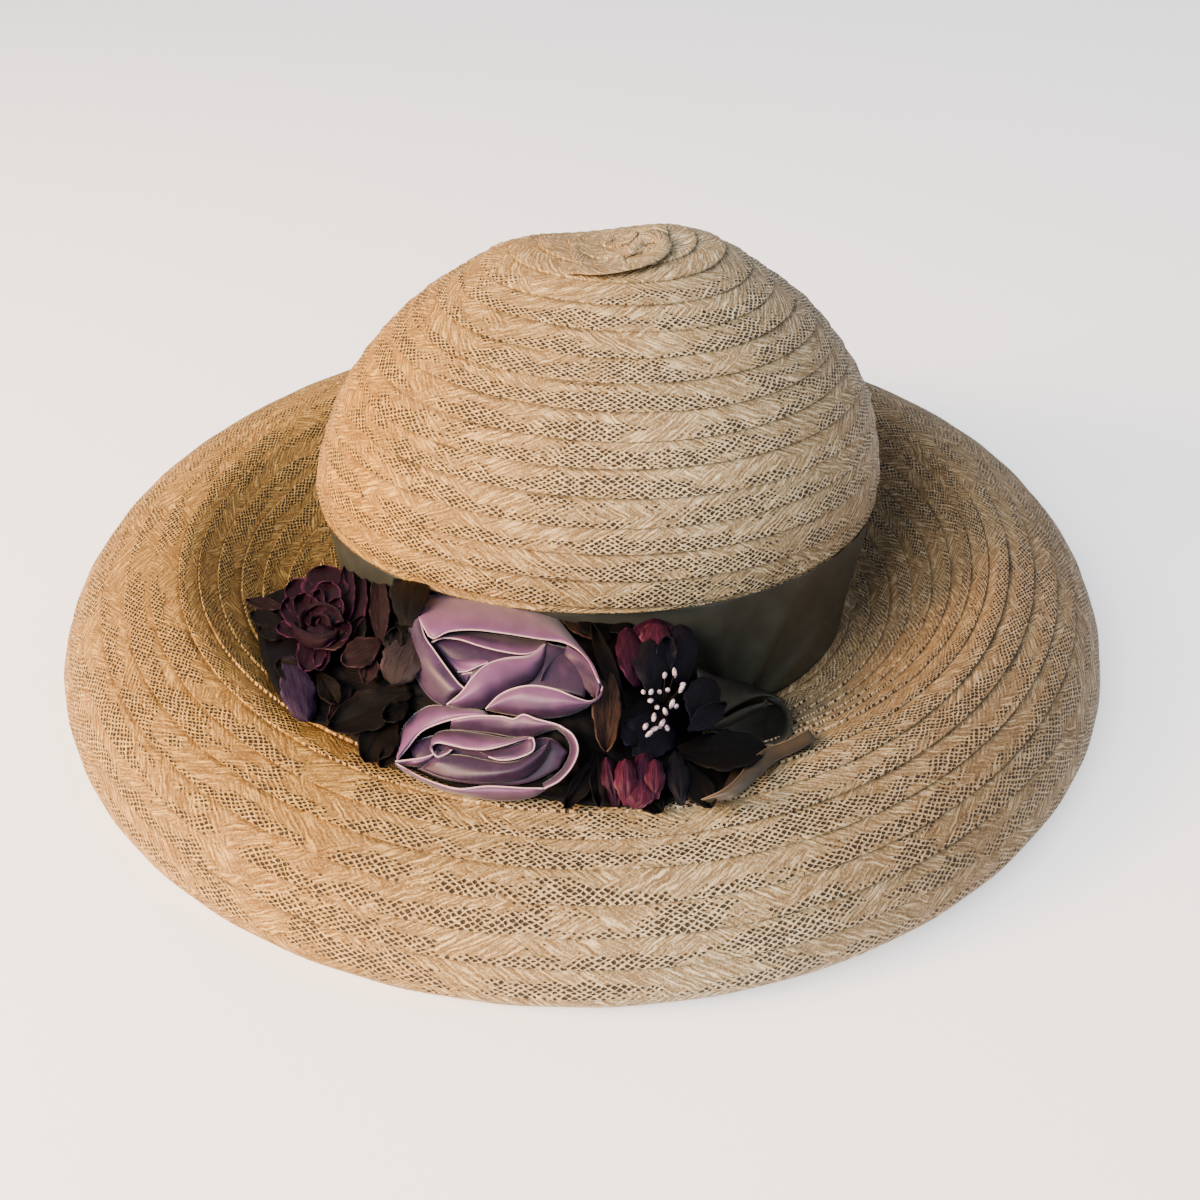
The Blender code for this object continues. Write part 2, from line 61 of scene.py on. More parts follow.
def linear(hex_colour):
    """An sRGB hex colour as linear red, green and blue."""
    channels = [int(hex_colour[i : i + 2], 16) / 255 for i in (1, 3, 5)]
    return tuple(c / 12.92 if c <= 0.04045 else ((c + 0.055) / 1.055) ** 2.4 for c in channels)


# The picture and its camera
PICTURE = 1200
FOCAL_PX = 1238
CAMERA_DOWN_DEG = 37.23
CAMERA_AT = np.array([0.0066, -0.4172, 0.3213])
SENSOR_MM = 36

# Points of a smooth curve between two given ones
CURVE_STEPS = 10

# Sizes that the straw and the ribbon share with the solids of the neck, the crown and the brim
HEAD_HALF_WIDTH = 0.0984
HEAD_HALF_DEPTH = 0.0829
STRAW_WALL = 1.8 * MM
NECK_FOOT_HEIGHT = 0.0078
NECK_FLARE_WIDTH = 0.0060
NECK_FLARE_DEPTH = 0.0005
CROWN_OVERHANG = 0.0016
CROWN_EDGE_HEIGHT = 0.0650
CROWN_RISE = 0.0970
CROWN_SHIFT = 0.0055
CROWN_LEAN = 0.0052
BRIM_HALF_WIDTH = 0.2050
BRIM_HALF_DEPTH = 0.2028
BRIM_CREST_HEIGHT = 0.0463
RIM_HEIGHT = 0.0120
RIM_TUCK = 0.0080
SEAM_GAP = 0.3 * MM

# Crown profile from the tip down: shares of its half width, of its rise above the edge and of its lean
CrownSection = namedtuple("CrownSection", "out rise lean")
CROWN_SECTIONS = (
    CrownSection(0.000, 1.000, 1.0),
    CrownSection(0.165, 0.995, 1.0),
    CrownSection(0.307, 0.978, 1.0),
    CrownSection(0.406, 0.931, 1.0),
    CrownSection(0.544, 0.823, 1.0),
    CrownSection(0.687, 0.705, 0.9),
    CrownSection(0.818, 0.546, 0.7),
    CrownSection(0.917, 0.377, 0.5),
    CrownSection(0.986, 0.157, 0.2),
    CrownSection(1.000, 0.052, 0.0),
    CrownSection(0.998, 0.000, 0.0),
)

# Brim profile from the neck out: shares of the way out at the sides and at the front, of the crest's height
# and of the waves
BrimSection = namedtuple("BrimSection", "side front rise wave")
BRIM_SECTIONS = (
    BrimSection(0.112, 0.116, 0.227, 0.1),
    BrimSection(0.288, 0.272, 0.508, 0.3),
    BrimSection(0.458, 0.432, 0.832, 0.7),
    BrimSection(0.567, 0.613, 1.000, 1.0),
    BrimSection(0.738, 0.773, 0.940, 1.0),
    BrimSection(0.880, 0.903, 0.778, 1.0),
    BrimSection(0.968, 0.975, 0.518, 0.6),
)
RimSection = namedtuple("RimSection", "tuck height")
RIM_SECTIONS = (RimSection(0.00, 1.00), RimSection(0.50, 0.50), RimSection(1.00, 0.00))
Wave = namedtuple("Wave", "at_deg lift reach_deg")
BRIM_WAVES = (Wave(95, 0.03, 35), Wave(-115, -0.03, 40))

# Lumps of the pinched tip: where as shares of the crown's half width, how high and how wide
Lump = namedtuple("Lump", "across back rise reach")
TIP_LUMPS = (
    Lump(0.15, 0.06, 0.030, 0.10),
    Lump(-0.04, -0.12, -0.020, 0.07),
    Lump(-0.18, -0.02, 0.012, 0.08),
    Lump(-0.10, 0.32, -0.070, 0.30),
)

# Two enlarged views of the picture in which the trim was measured, each with the pixel at its corner and its
# scale
CloseUp = namedtuple("CloseUp", "left top scale")
LEFT = CloseUp(230, 540, 3.92)
RIGHT = CloseUp(540, 560, 5.227)

# Folds of ribbon, each from a free woven edge to the edge where it goes out of sight. Lifts are in mm above
# the bed, evenly spread along the edge, and tone is painted shade: it goes from the ribbon's own colour at 0
# to its shade colour at 1, deeper for folds that lie under others
Fold = namedtuple("Fold", "name free_lift root_lift bulge tone beaded free root")
UPPER_ROSE = (
    Fold(
        "top petal", (8, 10, 11, 11, 10), (3, 3, 4, 5, 8), 3.5, 0.1, True,
        ((740, 298), (765, 350), (795, 386), (860, 358), (960, 352), (1080, 366), (1200, 385), (1320, 405),
         (1400, 465), (1448, 560)),
        ((703, 292), (740, 245), (790, 212), (870, 195), (1000, 193), (1140, 205), (1250, 270),
         (1340, 375), (1420, 480), (1462, 575)),
    ),
    Fold(
        "left petal", (8, 8, 7), (3, 3, 4), 3.0, 0.65, True,
        ((742, 300), (762, 375), (800, 432), (845, 495), (890, 555), (922, 585)),
        ((703, 292), (699, 390), (708, 490), (745, 570), (790, 625), (840, 652)),
    ),
    Fold(
        "inner ribbon", (6, 6, 6), (4, 4, 4), 0.8, 0.5, True,
        ((790, 402), (835, 385), (900, 390), (970, 412), (1050, 433), (1140, 447), (1195, 438), (1236, 405)),
        ((800, 375), (860, 360), (930, 358), (1000, 362), (1080, 372), (1150, 382), (1210, 392),
         (1250, 396)),
    ),
    Fold(
        "right arm", (7, 9, 10, 9), (4, 4, 4, 5), 2.6, 0.25, True,
        ((1240, 405), (1215, 432), (1168, 455), (1080, 464), (1008, 488), (955, 535), (905, 600),
         (850, 645)),
        ((1232, 455), (1226, 500), (1185, 548), (1125, 580), (1065, 615), (1003, 658), (930, 664),
         (868, 656)),
    ),
    Fold(
        "twist beside the arm", (7, 6, 4), (5, 3, 3), 1.0, 0.9, False,
        ((1242, 402), (1236, 450), (1228, 500), (1216, 552)),
        ((1334, 428), (1292, 462), (1256, 505), (1222, 553)),
    ),
    Fold(
        "inside of the right loop", (9, 9, 9), (2, 2, 5), 0.3, 0.65, False,
        ((1322, 412), (1400, 468), (1446, 560), (1436, 618)),
        ((1300, 470), (1335, 520), (1385, 575), (1424, 618)),
    ),
    Fold(
        "lower right lobe", (8, 11, 11, 9), (5, 5, 5, 8), 2.8, 0.3, True,
        ((1003, 662), (1055, 610), (1120, 580), (1195, 571), (1280, 587), (1350, 616), (1410, 633),
         (1448, 612), (1460, 575)),
        ((1003, 668), (1080, 684), (1150, 694), (1230, 700), (1310, 692), (1370, 672), (1420, 645),
         (1452, 612), (1463, 580)),
    ),
    Fold(
        "tuck in the arms", (4, 4, 4), (3, 3, 3), 0.8, 0.2, True,
        ((893, 517), (930, 514), (975, 494), (1012, 480)),
        ((838, 450), (900, 462), (960, 452), (1040, 458)),
    ),
    Fold(
        "lower tuck", (3, 3), (3, 3), 0.3, 0.5, True,
        ((908, 527), (930, 522), (950, 520)),
        ((915, 560), (925, 560), (934, 558)),
    ),
    # A sheet painted all in shade (tone 1), put in the hollow of the rose
    Fold(
        "ribbon deep in the rose", (3, 4, 4, 4), (2, 2, 2, 3), 1.2, 1.0, False,
        ((770, 372), (850, 378), (960, 378), (1100, 392), (1250, 405), (1340, 430), (1410, 530)),
        ((815, 440), (860, 500), (905, 560), (980, 590), (1110, 600), (1260, 590), (1390, 615)),
    ),
)
LOWER_ROSE = (
    Fold(
        "outer top petal", (6, 8, 9), (3, 3, 4), 2.5, 0.1, True,
        ((648, 868), (690, 822), (755, 748), (860, 706), (960, 688), (1020, 690)),
        ((640, 872), (652, 800), (690, 715), (775, 650), (900, 652), (1000, 668)),
    ),
    Fold(
        "upper inner band", (9, 9, 9), (3, 3, 4), 1.5, 0.5, True,
        ((868, 706), (960, 690), (1060, 692), (1112, 702), (1150, 684), (1202, 702), (1290, 727),
         (1340, 760)),
        ((862, 742), (950, 750), (1030, 760), (1100, 772), (1180, 773), (1245, 752), (1290, 745),
         (1325, 775)),
    ),
    Fold(
        "inner roll", (6, 8, 8, 7), (3, 3, 4, 6), 1.8, 0.25, True,
        ((798, 838), (788, 812), (812, 794), (862, 802), (930, 817), (1005, 820), (1080, 803), (1150, 780),
         (1188, 775)),
        ((788, 818), (790, 775), (825, 748), (890, 743), (960, 752), (1030, 764), (1090, 774), (1150, 770),
         (1186, 770)),
    ),
    Fold(
        "front of the roll", (8, 8, 7), (6, 5, 5), 1.2, 0.6, True,
        ((1188, 776), (1194, 805), (1180, 832), (1120, 856), (1060, 862), (1015, 850)),
        ((1150, 782), (1130, 795), (1090, 808), (1040, 816), (1000, 822), (960, 822)),
    ),
    Fold(
        "curl", (7, 7), (5, 5), 0.3, 0.4, True,
        ((800, 838), (815, 850), (850, 838), (870, 822)),
        ((812, 815), (825, 830), (845, 822), (850, 812)),
    ),
    Fold(
        "centre petal", (5, 5, 5, 5), (4, 4, 4, 4), 3.2, 0.85, False,
        ((800, 842), (865, 836), (930, 842), (1005, 858), (1065, 868), (1125, 862), (1185, 836),
         (1240, 800), (1246, 782)),
        ((752, 890), (810, 922), (900, 942), (1000, 952), (1080, 947), (1150, 932), (1210, 890),
         (1248, 835), (1254, 790)),
    ),
    Fold(
        "left strip", (7, 7, 7), (3, 3, 3), 1.0, 0.3, True,
        ((648, 868), (702, 862), (758, 854), (800, 840)),
        ((652, 882), (700, 888), (745, 890), (792, 880)),
    ),
    Fold(
        "right wall", (9, 10, 9), (3, 3, 4), 0.6, 0.45, True,
        ((1290, 727), (1342, 762), (1364, 820), (1342, 885), (1292, 942), (1232, 974)),
        ((1285, 745), (1318, 775), (1332, 822), (1312, 880), (1270, 925), (1225, 955)),
    ),
    Fold(
        "outer bottom petal", (6, 7, 8, 9), (2, 1, 1, 5), 2.0, 0.3, True,
        ((645, 872), (740, 926), (830, 961), (905, 976), (1000, 966), (1075, 968), (1150, 973), (1232, 974)),
        ((643, 884), (735, 940), (830, 982), (930, 1006), (1030, 1022), (1130, 1022), (1200, 1003),
         (1245, 975)),
    ),
    # A sheet painted all in shade (tone 1), put in the hollow of the rose
    Fold(
        "ribbon deep in the rose", (3, 4, 4, 3), (2, 2, 2, 2), 1.0, 1.0, False,
        ((700, 800), (800, 765), (900, 785), (1100, 795), (1250, 775), (1325, 830)),
        ((735, 895), (830, 935), (960, 955), (1100, 960), (1200, 940), (1290, 895)),
    ),
)
KNOT = (
    Fold(
        "sweep from the band", (9, 12, 14, 14), (4, 6, 8, 12), 3.0, 0.3, False,
        ((860, 880), (930, 830), (1010, 775), (1100, 730), (1190, 712), (1265, 738)),
        ((820, 560), (905, 600), (1000, 625), (1100, 650), (1200, 690), (1285, 735)),
    ),
    Fold(
        "rim of the loop", (14, 16, 15, 12), (12, 12, 12, 11), 2.0, 0.3, False,
        ((1188, 712), (1262, 736), (1302, 800), (1316, 880), (1288, 935), (1232, 966), (1165, 962)),
        ((1190, 742), (1240, 765), (1268, 805), (1276, 860), (1252, 905), (1205, 935), (1150, 940)),
    ),
    Fold(
        "ridge of the loop", (11, 13, 14), (5, 6, 8), 2.4, 0.2, False,
        ((852, 884), (950, 835), (1060, 775), (1180, 738)),
        ((870, 905), (985, 880), (1100, 830), (1215, 775)),
    ),
    Fold(
        "lower lip of the loop", (10, 12, 12), (4, 6, 7), 2.0, 0.5, False,
        ((872, 898), (985, 916), (1095, 948), (1200, 970)),
        ((900, 880), (1000, 885), (1110, 895), (1215, 915)),
    ),
    Fold(
        "back of the loop", (6, 9, 11, 12), (6, 9, 11, 12), 0.5, 1.0, False,
        ((870, 905), (1000, 860), (1130, 790), (1230, 755), (1300, 800)),
        ((880, 900), (1000, 915), (1130, 945), (1235, 955), (1305, 880)),
    ),
)
TAIL = (
    Fold(
        "loose end", (13, 18, 18, 14, 10, 7), (10, 15, 15, 11, 7, 4), 1.2, 0.0, True,
        ((1405, 885), (1300, 942), (1185, 986), (1100, 1052), (1040, 1130), (960, 1200), (825, 1262)),
        ((1442, 935), (1352, 992), (1250, 1042), (1160, 1112), (1088, 1184), (1000, 1246), (830, 1284)),
    ),
    Fold(
        "inside of the loose end", (16, 15, 12, 8, 6), (10, 10, 8, 5, 3), 0.8, 1.0, False,
        ((1290, 948), (1185, 990), (1100, 1056), (1040, 1132), (962, 1202)),
        ((1180, 958), (1060, 985), (1005, 1040), (985, 1110), (930, 1190)),
    ),
)

# Third enlarged view, over the tip of the crown, where the braid starts with a pinched loop
TIP_VIEW = CloseUp(330, 200, 3.336)
TIP_LOOP = (
    Fold(
        "pinched start", (3.2, 4.8, 5.6, 5.0, 3.2), (1.2, 1.6, 1.8, 1.6, 0.8), 2.2, 0.0, False,
        ((985, 190), (1000, 150), (1035, 115), (1085, 98), (1128, 118), (1140, 155), (1115, 190),
         (1050, 220), (960, 242), (870, 250), (790, 240)),
        ((1040, 175), (1045, 160), (1060, 148), (1080, 145), (1095, 150), (1098, 160), (1080, 172),
         (1030, 188), (950, 205), (875, 208), (815, 200)),
    ),
    Fold(
        "middle of the loop", (0.8, 0.8), (0.5, 0.5), 0.8, 0.0, False,
        ((1040, 172), (1050, 155), (1070, 140), (1092, 143), (1100, 158)),
        ((1042, 178), (1058, 180), (1072, 180), (1086, 174), (1098, 163)),
    ),
    Fold(
        "left start", (2.2, 2.6, 2.6, 2.0), (0.4, 0.4, 0.4), 1.2, 0.0, False,
        ((990, 195), (940, 222), (870, 228), (820, 205), (800, 165), (830, 130), (890, 115), (960, 118),
         (1005, 140)),
        ((975, 180), (930, 195), (880, 198), (850, 182), (845, 165), (862, 150), (900, 143), (950, 145),
         (985, 155)),
    ),
)

# Petals and leaves, each from its base to its tip as seen in an enlarged view, with its width there. Lifts,
# the cup of its edges and the belly along its middle are in mm, and a low blunt value gives a rounded tip
Petal = namedtuple("Petal", "name view base tip width lift_base lift_tip cup belly blunt")
PLUM_ROSE = (
    Petal("back right petal", LEFT, (450, 400), (520, 130), 100, 3, 7, 2.0, 3.0, 0.75),
    Petal("tall petal", LEFT, (430, 390), (466, 78), 82, 5, 11, 3.0, 2.0, 0.7),
    Petal("top petal", LEFT, (370, 290), (375, 100), 190, 4, 8, 3.0, 3.0, 0.4),
    Petal("upper left petal", LEFT, (350, 320), (240, 160), 150, 4, 7, 2.5, 2.5, 0.45),
    Petal("left petal", LEFT, (350, 330), (205, 245), 130, 5, 9, 3.0, 2.5, 0.45),
    Petal("low left petal", LEFT, (340, 340), (182, 345), 85, 4, 7, 2.0, 2.0, 0.5),
    Petal("lower petal", LEFT, (350, 360), (290, 510), 120, 4, 5, 2.0, 3.0, 0.5),
    Petal("lower right petal", LEFT, (370, 380), (350, 510), 70, 5, 5, 2.0, 2.0, 0.5),
    Petal("right side petal", LEFT, (390, 380), (470, 330), 90, 6, 8, 3.0, 2.0, 0.5),
    Petal("middle back petal", LEFT, (350, 310), (395, 165), 130, 8, 13, 4.0, 2.0, 0.4),
    Petal("middle left petal", LEFT, (350, 340), (268, 215), 105, 8, 13, 4.0, 2.0, 0.4),
    Petal("middle right petal", LEFT, (370, 350), (430, 230), 80, 8, 13, 4.0, 2.0, 0.45),
    Petal("front petal", LEFT, (350, 430), (352, 330), 130, 10, 14, -3.0, 3.0, 0.35),
    Petal("inner petal", LEFT, (330, 330), (350, 195), 60, 9, 14, 3.0, 1.0, 0.4),
)
PLUM_SWIRL = (
    Fold(
        "outer turn", (17, 19, 19, 18), (10, 11, 11, 10), 1.8, 0.0, False,
        ((275, 349), (267, 297), (297, 260), (356, 242), (423, 267), (446, 319)),
        ((300, 352), (300, 305), (322, 280), (356, 268), (402, 288), (418, 330)),
    ),
    Fold(
        "inner turn", (19, 20, 20, 19), (12, 13, 13, 12), 1.0, 0.0, False,
        ((312, 335), (318, 300), (350, 284), (386, 300), (396, 338)),
        ((332, 340), (336, 318), (352, 306), (370, 318), (376, 340)),
    ),
    Fold(
        "front turn", (15, 18, 18, 15), (8, 9, 9, 8), 3.0, 0.0, False,
        ((236, 312), (270, 342), (316, 362), (370, 366), (432, 345)),
        ((246, 378), (290, 415), (330, 428), (374, 428), (428, 398)),
    ),
)
UPPER_BUD = (
    Petal("left petal", RIGHT, (510, 660), (450, 350), 165, 4, 8, -3.0, 3.0, 0.4),
    Petal("back petal", RIGHT, (590, 520), (590, 296), 230, 3, 8, -4.0, 2.5, 0.35),
    Petal("rosy petal", RIGHT, (590, 480), (612, 330), 165, 8, 11, -2.5, 2.0, 0.3),
)
LOWER_BUD = (
    Petal("left rim", RIGHT, (400, 1290), (345, 1030), 100, 4, 8, -3.0, 2.0, 0.4),
    Petal("red petal", RIGHT, (455, 1285), (445, 1040), 125, 7, 11, -3.0, 3.0, 0.3),
    Petal("middle petal", RIGHT, (560, 1280), (540, 1010), 150, 5, 9, -3.0, 2.0, 0.35),
    Petal("rosy petal", RIGHT, (600, 1250), (600, 1040), 110, 7, 11, -3.0, 2.0, 0.35),
    Petal("front petal", RIGHT, (500, 1300), (530, 1150), 170, 8, 9, -2.0, 2.0, 0.4),
)
LEAVES = {
    "taupe_petal": (Petal("taupe petal", LEFT, (722, 372), (632, 566), 165, 5, 7, -1.5, 2.5, 0.36),),
    "lavender_petal": (Petal("lavender petal", LEFT, (225, 455), (305, 715), 140, 3, 4, -2.0, 3.0, 0.45),),
    "brown_leaf_left": (
        Petal("veined leaf", LEFT, (590, 395), (440, 480), 120, 4, 7, 1.5, 2.0, 0.6),
        Petal("veined leaf tip", LEFT, (560, 440), (530, 560), 80, 3, 5, 1.0, 2.0, 0.6),
        Petal("grey veined leaf", LEFT, (590, 410), (580, 135), 82, 3, 5, 1.5, 2.0, 0.5),
        Petal("striped leaf", LEFT, (475, 575), (385, 715), 60, 3, 4, 1.0, 1.0, 0.7),
        Petal("grey leaf", LEFT, (215, 262), (62, 235), 52, 2, 5, 1.0, 1.0, 0.8),
        Petal("olive petal", LEFT, (345, 415), (462, 372), 75, 9, 8, 1.5, 1.0, 0.5),
    ),
    "brown_leaf_right": (
        Petal("twisted leaf", RIGHT, (352, 520), (345, 1000), 150, 3, 5, 1.5, 3.0, 0.55),
        Petal("leaf behind the rose", RIGHT, (330, 420), (70, 235), 105, 2, 4, 1.0, 1.0, 0.7),
    ),
    "black_petal_upper": (
        Petal("navy petal", RIGHT, (745, 650), (735, 335), 175, 5, 9, -2.0, 3.0, 0.4),
        Petal("centre petal", RIGHT, (590, 690), (575, 400), 190, 6, 11, -4.0, 3.0, 0.35),
        Petal("right side petal", RIGHT, (650, 600), (670, 400), 110, 6, 10, 2.0, 2.0, 0.45),
    ),
    "black_petal_middle": (
        Petal("round petal", RIGHT, (815, 850), (882, 610), 195, 13, 14, -2.0, 2.5, 0.4),
        Petal("pointed leaf", RIGHT, (775, 890), (975, 746), 125, 15, 17, 1.5, 2.0, 0.85),
        Petal("petal under the stamens", RIGHT, (520, 1040), (640, 800), 260, 2, 3, -1.5, 2.0, 0.35),
        Petal("left petal under the stamens", RIGHT, (560, 960), (440, 850), 160, 2, 4, 1.0, 2.0, 0.5),
    ),
    "navy_petal": (Petal("navy petal", RIGHT, (740, 1285), (705, 1000), 120, 5, 9, -2.5, 2.0, 0.5),),
    "black_leaf_left": (
        Petal("dark petal", LEFT, (215, 330), (80, 290), 70, 2, 5, 1.5, 1.5, 0.45),
        Petal("small dark petal", LEFT, (220, 380), (110, 345), 60, 2, 4, 1.5, 1.5, 0.5),
        Petal("dark red leaf", LEFT, (640, 670), (530, 868), 165, 3, 4, 2.0, 2.0, 0.6),
        Petal("black leaf", LEFT, (710, 590), (385, 735), 165, 3, 4, 2.0, 2.5, 0.6),
        Petal("leaf behind the plum rose", LEFT, (330, 560), (180, 480), 95, 2, 3, 2.0, 1.5, 0.5),
        Petal("leaf by the lavender petal", LEFT, (350, 520), (420, 640), 90, 2, 5, 2.5, 2.0, 0.6),
        Petal("leaf beside the rose", LEFT, (700, 640), (600, 700), 80, 5, 7, 2.5, 1.5, 0.5),
        Petal("leaf under the rose", LEFT, (660, 780), (590, 890), 70, 4, 4, 2.0, 1.5, 0.6),
    ),
    "black_leaf_back": (
        Petal("charcoal leaf", LEFT, (690, 340), (715, 82), 155, 6, 21, -1.5, 2.5, 0.42),
        Petal("leaf by the grey one", LEFT, (520, 390), (535, 190), 75, 2, 4, 1.0, 1.0, 0.6),
        Petal("leaf under the charcoal one", LEFT, (660, 330), (790, 140), 80, 2, 4, 1.0, 1.0, 0.6),
        Petal("curled leaf by the plum rose", LEFT, (470, 420), (520, 300), 70, 3, 6, 3.0, 1.5, 0.6),
        Petal("leaf over the taupe petal", LEFT, (620, 450), (655, 345), 75, 3, 6, 2.5, 1.5, 0.6),
        Petal("leaf left of the grey one", LEFT, (480, 330), (440, 200), 60, 2, 3, 1.5, 1.0, 0.6),
    ),
    "black_leaf_top": (
        Petal("top leaf", RIGHT, (360, 420), (190, 215), 150, 3, 6, -1.0, 2.0, 0.6),
        Petal("top right leaf", RIGHT, (330, 360), (500, 280), 130, 3, 5, -1.0, 2.0, 0.6),
        Petal("curled leaf", RIGHT, (440, 780), (270, 330), 90, 3, 6, 2.0, 1.0, 0.7),
    ),
    "black_leaf_low": (
        Petal("low leaf", RIGHT, (800, 950), (950, 1215), 250, 2, 3, -1.0, 2.0, 0.5),
        Petal("lowest leaf", RIGHT, (330, 1010), (130, 1300), 110, 2, 3, 1.0, 1.5, 0.7),
        Petal("leaf by the bud", RIGHT, (290, 1000), (310, 1290), 80, 2, 5, 1.5, 1.5, 0.6),
        Petal("leaf under the bud", RIGHT, (500, 1200), (640, 1310), 120, 1, 2, 1.0, 1.0, 0.5),
        Petal("leaf under the loop", RIGHT, (720, 1000), (1185, 985), 215, 2, 12, 2.0, 3.0, 0.5),
        Petal("leaf under the knot", RIGHT, (760, 1080), (900, 1290), 150, 2, 3, 1.5, 2.0, 0.6),
    ),
}

# Size of the cloth or ribbon that a piece was cut from, in metres and square metres, before it was folded or
# pressed
Cut = namedtuple("Cut", "width length area")

# Bed of crumpled leaves under the flowers: its outline in the left enlarged view
BED_OUTLINE = (
    (95, 300), (140, 220), (250, 180), (420, 150), (640, 150), (760, 160), (820, 230), (1100, 230),
    (1300, 260), (1450, 260), (1560, 330), (1780, 420), (1850, 560), (1900, 640), (1850, 760), (1800, 880),
    (1790, 1000), (1700, 1030), (1500, 1045), (1330, 1030), (1150, 1000), (900, 970), (720, 900),
    (560, 830), (420, 740), (280, 700), (185, 600), (130, 480),
)

# Stamen tips as seen in the right enlarged view, each with its length there and the way it points in degrees
Tip = namedtuple("Tip", "x y long turn")
STAMENS = (
    Tip(652, 603, 26, 80),
    Tip(703, 590, 42, 95),
    Tip(581, 690, 24, 60),
    Tip(578, 735, 22, 20),
    Tip(625, 690, 16, 40),
    Tip(668, 680, 18, 120),
    Tip(740, 672, 40, 60),
    Tip(748, 650, 24, 10),
    Tip(690, 752, 40, 70),
    Tip(712, 765, 22, 30),
    Tip(655, 793, 36, 110),
    Tip(595, 822, 34, 80),
    Tip(637, 856, 40, 60),
    Tip(665, 878, 26, 120),
    Tip(552, 870, 28, 60),
    Tip(600, 882, 30, 20),
    Tip(572, 908, 34, 40),
    Tip(612, 770, 18, 0),
    Tip(540, 690, 16, 30),
)

# Stamens: where their wires start in the right enlarged view, their heights above the bed, their sizes, the
# sag of a wire and what a pixel of the picture measures there
STAMEN_ROOT = (645, 760)
STAMEN_ROOT_LIFT = 2 * MM
STAMEN_LIFT = 13 * MM
STAMEN_FAR_END_LIFT = 13.3 * MM
STAMEN_BEAD_RADIUS = 0.78 * MM
STAMEN_WIRE_RADIUS = 0.22 * MM
STAMEN_SAG = (0, -0.001, 0.0005)
MM_PER_PIXEL = 0.46

# Dyes: the cloth's colour, its rim, which is a worn cut edge and a painted highlight in one colour, and
# its pressed veins, how dull it is, and its slot
Dye = namedtuple("Dye", "colour edge vein roughness slot")
DYES = {
    "dyed_black_cloth": Dye("#050406", "#0f0c10", "#020102", 0.62, "black_cloth"),
    "dyed_brown_cloth": Dye("#231418", "#443034", "#0d0708", 0.62, "brown_cloth"),
    "dyed_umber_cloth": Dye("#090504", "#1d1211", "#030202", 0.62, "black_cloth"),
    "dyed_tan_brown_cloth": Dye("#33221c", "#503b32", "#160d0a", 0.62, "brown_cloth"),
    "dyed_taupe_cloth": Dye("#292227", "#473b42", "#151012", 0.62, "brown_cloth"),
    "dyed_lavender_cloth": Dye("#241731", "#413350", "#130b1b", 0.62, "lavender_cloth"),
    "dyed_navy_cloth": Dye("#0c0b16", "#1c1930", "#06050c", 0.62, "black_cloth"),
    "dyed_plum_cloth": Dye("#1c0414", "#461b3e", "#080207", 0.62, "plum_cloth"),
    "dyed_burgundy_cloth": Dye("#310d26", "#6a2c50", "#14050f", 0.50, "burgundy_cloth"),
    # A lighter copy of the burgundy cloth, a painted highlight on some bud petals
    "dyed_rosy_cloth": Dye("#481a30", "#78485e", "#240b17", 0.42, "burgundy_cloth"),
    "waxed_black_thread": Dye("#171216", "#2a2228", "#0d0a0c", 0.62, "stamen_white"),
}

# Cloth that each group of leaves and petals is cut from, and the petals of the buds that are rosy: a lighter
# copy of the burgundy cloth that stands for a painted highlight
LEAF_CLOTHS = {
    "taupe_petal": "dyed_taupe_cloth",
    "lavender_petal": "dyed_lavender_cloth",
    "brown_leaf_left": "dyed_brown_cloth",
    "brown_leaf_right": "dyed_tan_brown_cloth",
    "black_petal_upper": "dyed_navy_cloth",
    "black_petal_middle": "dyed_navy_cloth",
    "navy_petal": "dyed_navy_cloth",
    "black_leaf_left": "dyed_umber_cloth",
    "black_leaf_back": "dyed_black_cloth",
    "black_leaf_top": "dyed_black_cloth",
    "black_leaf_low": "dyed_black_cloth",
}
ROSY_HIGHLIGHT_PETALS = ("rosy petal", "red petal", "front petal")

# Braid: shares of a row from under the one above it, at -0.35, to its free edge at 1, where the winding
# starts, how the rows pucker and swell, how steeply their heads tuck under, how far the edge is turned in,
# and the points in a turn
BRAID_SHARES = (-0.35, -0.12, 0.0, 0.18, 0.4, 0.65, 0.85, 0.96, 1.0)
BRAID_START_DEG = 150
BRAID_PUCKER = 0.12 * MM
BRAID_SWELL = 0.1 * MM
BRAID_TUCK = 2.6
BRAID_EDGE = 0.55 * MM
CROWN_PER_TURN = 250
BRIM_PER_TURN = 300

# Braid of the neck, which lies under the band, and the thickness of the pinched tip's
NECK_ROWS = 6
NECK_SHARES = (-0.35, 0.0, 0.3, 0.7, 1.0)
NECK_PER_TURN = 160
NECK_SINK = 1.2 * MM
TIP_THICKNESS = 0.8 * MM

# Satin band: its join is hidden under the upper rose, and its pleats run together at the knot. It stands off
# the neck a little more at its foot, and a pleat starts, deepens and fades away from a point below the knot
BAND_JOIN_DEG = -25
KNOT_AT_DEG = 27
BAND_THICKNESS = 0.5 * MM
BAND_FOOT_OFF_MM = 1.7
BAND_TOP_OFF_MM = 1.1
BAND_HEIGHT = 0.052
BAND_SLACK = 0.35 * MM
NECK_RADIUS = 0.1
PLEAT_ROOT_BELOW = 0.006
PLEAT_DEPTH = 4.5 * MM
PLEAT_START = 0.012
PLEAT_REACH = 0.06

# Folded ribbon: small creases and the selvedge in mm, and how much painted shade deepens its tone
# towards the root, where it lies under other folds
RIBBON_CREASE = 0.35
RIBBON_ROOT_SHADE = 0.75
SELVEDGE_LIFT_MM = 0.15

# Petals and leaves: thickness of the cloth, and how deeply it is pressed as a multiple of the tables' cups
CLOTH_THICKNESS = 0.35 * MM
CUPPING = 1.7

